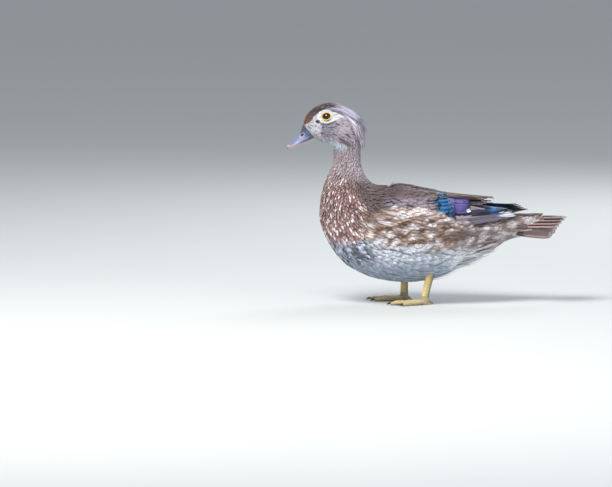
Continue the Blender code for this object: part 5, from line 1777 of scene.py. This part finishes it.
def build_foot(word, side, finishes):
    foot = STANCE[word][1]
    y = side * FOOT_SPREAD
    joint = np.array((foot, y, JOINT_HEIGHT))
    line = [(foot + 0.001, y, 0.0006), (foot, y, JOINT_HEIGHT), (foot, y, 0.0112)]
    knob = tube("ankle_knob", line, (0.0042, 0.0054, 0.0046), 16, finishes["foot"], 24, squash=0.78, low=SOLE)
    shade_by(knob, lambda co: 0.5)
    pieces, claws = [knob], []
    toes = [(heading(side, spread), length) for spread, length in TOES]
    for k, (way, length) in enumerate(toes):
        toe, claw = build_toe(f"toe_{k}", joint, way, length, finishes)
        pieces.append(toe)
        claws.append(claw)
    flat = np.array((foot, y, 0.0))
    for k, (first, second) in enumerate(zip(toes, toes[1:])):
        pieces.append(build_web(f"web_{k}", flat, first, second, finishes["web"]))
    back = heading(side, 180 - HIND_TOE_TURN)
    line = [joint + (0, 0, 0.001), joint + back * HIND_TOE_LENGTH * 0.45,
            joint + back * HIND_TOE_LENGTH * 0.85]
    line[1][2], line[2][2] = 0.0050, 0.0024
    hind = tube("hind_toe", line, (0.0027, 0.0022, 0.0011), 20, finishes["foot"], 16,
                relief=scutes(6, 0.06), low=SOLE)
    shade_by(hind, lambda co: 0.4)
    pieces.append(hind)
    line = [line[2] - back * 0.001, joint + back * HIND_TOE_LENGTH * 0.97,
            joint + back * HIND_TOE_LENGTH * 1.05]
    line[1][2], line[2][2] = 0.0020, 0.0008
    claws.append(tube("hind_claw", line, (0.0010, 0.0007, 0.0002), 8, finishes["claw"], 10, low=SOLE))
    belongs(joined(pieces, "foot_skin_" + word), "foot_web", "foot_" + word)
    belongs(joined(claws, "claws_" + word), "foot_web")


# The stage.

FLOOR_WIDTH = 80.0


def build_stage():
    """A plain pale floor, wide enough to fill the view from any side."""
    floor = added("floor", bpy.ops.mesh.primitive_plane_add, size=FLOOR_WIDTH)
    floor.data.materials.append(plain_material("pale floor", (0.66, 0.67, 0.67), 0.9, 3.0, 0.03))


def light(name, place, aim, size, power, colour):
    data = bpy.data.lights.new(name, "AREA")
    data.shape, data.size, data.energy, data.color = "DISK", size, power, colour
    lamp = shown(name, data)
    lamp.location = place
    lamp.rotation_euler = (Vector(aim) - Vector(place)).to_track_quat("-Z", "Y").to_euler()


# A light's name, place, aim, size, power and colour.
LIGHTS = (
    ("key", (-0.8, -1.2, 1.9), (-0.03, 0, 0.15), 1.2, 58, (1.0, 0.985, 0.965)),
    ("fill", (1.3, -1.7, 0.8), (0, 0, 0.12), 1.8, 8, (0.90, 0.95, 1.0)),
    ("back", (0.7, 1.5, 1.2), (0, 0, 0.15), 1.2, 14, (0.95, 0.98, 1.0)),
)
SKY, SKY_STRENGTH = (0.80, 0.86, 0.92, 1.0), 0.48


def build_lights():
    for name, place, aim, size, power, colour in LIGHTS:
        light(name, place, aim, size, power, colour)
    world = bpy.context.scene.world or bpy.data.worlds.new("studio")
    bpy.context.scene.world = world
    world.use_nodes = True
    sky = world.node_tree.nodes["Background"]
    sky.inputs["Color"].default_value = SKY
    sky.inputs["Strength"].default_value = SKY_STRENGTH
    bpy.context.scene.view_settings.view_transform = "Standard"


CAMERA_DISTANCE, VIEW_END = 8.0, 120.0
PHOTO_SIZE = (612, 487)
ORIGIN_PIXEL = (426, 303)


def build_camera():
    """The photo's view from the bird's left, nearly level."""
    aim = Vector((SHIFT[0] + (PHOTO_SIZE[0] / 2 - ORIGIN_PIXEL[0]) * METRES_PER_PIXEL, 0,
                  (ORIGIN_PIXEL[1] - PHOTO_SIZE[1] / 2) * METRES_PER_PIXEL))
    data = bpy.data.cameras.new("camera")
    data.sensor_width = 36.0
    data.lens = data.sensor_width * CAMERA_DISTANCE / (PHOTO_SIZE[0] * METRES_PER_PIXEL)
    data.clip_end = VIEW_END
    camera = shown("camera", data)
    camera.location = aim + Vector((0, -math.cos(CAMERA_TILT), math.sin(CAMERA_TILT))) * CAMERA_DISTANCE
    camera.rotation_euler = (math.pi / 2 - CAMERA_TILT, 0, 0)
    bpy.context.scene.camera = camera


BROWN, DARK, BLACK = (0.14, 0.092, 0.086), (0.07, 0.048, 0.045), (0.006, 0.006, 0.008)
MAUVE, TEAL, VIOLET = (0.33, 0.275, 0.360), (0.004, 0.110, 0.310), (0.085, 0.072, 0.290)
BLUE, PALE, INK = (0.02, 0.12, 0.33), (1.05, 1.05, 1.12), (0.014, 0.013, 0.028)
GREY, ROSY, NIGHT = (0.30, 0.245, 0.295), (0.26, 0.150, 0.115), (0.02, 0.02, 0.05)

# The long feathers. A row gives a title, the bands along the upper web and along the lower web, and what
# else the material is given.
LONG_FEATHERS = {
    "primaries": (
        "primary feather",
        [(0.0, DARK), (0.55, NIGHT), (0.66, BLUE), (0.78, (0.015, 0.03, 0.10)), (0.88, BLACK), (1.0, BLACK)],
        [(0.0, MAUVE), (0.66, MAUVE), (0.80, (0.42, 0.38, 0.50)), (0.93, (0.10, 0.10, 0.16)), (1.0, BLACK)],
        {"roughness": 0.42, "shaft": 0.20}),
    "edged primaries": (
        "edged primary",
        [(0.0, DARK), (0.46, NIGHT), (0.54, BLUE), (0.74, BLUE), (0.84, (0.012, 0.035, 0.12)), (1.0, BLACK)],
        [(0.0, MAUVE), (0.46, MAUVE), (0.58, PALE), (0.96, PALE), (1.0, (0.30, 0.30, 0.36))],
        {"roughness": 0.42, "shaft": 0.10}),
    "secondaries": (
        "secondary feather",
        [(0.0, DARK), (0.45, (0.05, 0.04, 0.16)), (0.86, (0.05, 0.04, 0.15)), (0.92, INK), (1.0, INK)],
        [(0.0, DARK), (0.40, DARK), (0.46, VIOLET), (0.60, VIOLET), (0.63, INK), (0.68, VIOLET),
         (0.80, (0.13, 0.090, 0.30)), (0.90, VIOLET), (0.94, INK), (1.0, INK)],
        {"roughness": 0.34, "metallic": 0.25, "shaft": 0.08, "blotch": (INK, 110.0, 0.60)}),
    "inner secondaries": (
        "inner secondary",
        [(0.0, BLACK), (1.0, BLACK)], [(0.0, BLACK), (1.0, (0.02, 0.016, 0.02))],
        {"roughness": 0.4, "edge": ((0.62, 0.50, 0.46), 0.90, 0.05)}),
    "greater coverts": (
        "greater covert",
        [(0.0, DARK), (0.40, GREY), (0.52, GREY), (0.57, TEAL), (0.93, TEAL), (0.97, INK), (1.0, BLACK)],
        [(0.0, DARK), (0.40, GREY), (0.52, GREY), (0.57, (0.02, 0.155, 0.34)), (0.93, TEAL), (0.97, INK),
         (1.0, BLACK)],
        {"roughness": 0.34, "metallic": 0.2, "shaft": 0.06, "blotch": (INK, 120.0, 0.56)}),
    "median coverts": (
        "median covert",
        [(0.0, DARK), (0.4, BROWN), (0.9, BROWN), (1.0, (0.17, 0.115, 0.108))],
        [(0.0, DARK), (0.4, GREY), (0.85, (0.32, 0.265, 0.31)), (1.0, (0.26, 0.21, 0.24))],
        {"roughness": 0.5, "shaft": 0.15}),
    "tertials": (
        "tertial",
        [(0.0, DARK), (0.35, BROWN), (0.75, (0.12, 0.075, 0.068)), (0.92, ROSY), (1.0, ROSY)],
        [(0.0, DARK), (0.35, (0.15, 0.095, 0.088)), (0.70, (0.18, 0.105, 0.090)), (0.92, ROSY),
         (1.0, (0.36, 0.235, 0.19))],
        {"roughness": 0.5, "edge": (BLACK, 0.80, 0.25)}),
    "tail": (
        "tail feather",
        [(0.0, DARK), (0.5, (0.085, 0.055, 0.055)), (0.92, (0.09, 0.06, 0.062)), (1.0, (0.15, 0.105, 0.11))],
        [(0.0, DARK), (0.5, (0.112, 0.062, 0.062)), (0.92, (0.125, 0.070, 0.070)),
         (1.0, (0.19, 0.120, 0.118))],
        {"roughness": 0.48, "edge": ((0.43, 0.29, 0.28), 0.80, 0.15)}),
}


def main():
    barb = barb_group()
    vane = vane_group(barb)
    coat = coat_material("coat feather", vane, 0.62, 0.18)
    finishes = {name: flight_material(title, barb, upper, lower, **more)
                for name, (title, upper, lower, more) in LONG_FEATHERS.items()}
    finishes["coat"] = coat
    finishes["root"] = plain_material("undertail down", (0.30, 0.235, 0.225), 0.8, 600.0, 0.6)
    leg_finishes = {
        "coat": coat, "thigh": plain_material("thigh down", (0.52, 0.51, 0.54), 0.8, 700.0, 0.4),
        "leg": scale_material("shank scales", (1.0, 0.77, 0.32), (0.17, 0.145, 0.15), 0.42, 620.0),
        "foot": scale_material("toe scales", (0.86, 0.69, 0.35), (0.22, 0.18, 0.15), 0.45, 760.0),
        "web": scale_material("web skin", (0.42, 0.32, 0.17), (0.10, 0.080, 0.060), 0.5, 1100.0),
        "claw": plain_material("claw horn", (0.035, 0.028, 0.025), 0.3, 900.0, 0.4),
    }
    build_skin(skin_material())
    head_coat(coat)
    neck_coat(coat)
    body_coat(coat)
    shoulder_coat(coat)
    flank_coat(coat)
    tuft_coat(coat)
    tail_root_coat(coat)
    build_crest(coat)
    build_tail(finishes)
    build_bill(horn_material())
    eye, lid = eye_material(), lid_material()
    for word, side in (("left", -1), ("right", 1)):
        build_wing(word, side, finishes)
        build_eye(word, side, eye, lid)
        build_leg(word, side, leg_finishes)
        build_foot(word, side, leg_finishes)
    build_stage()
    build_lights()
    build_camera()


main()
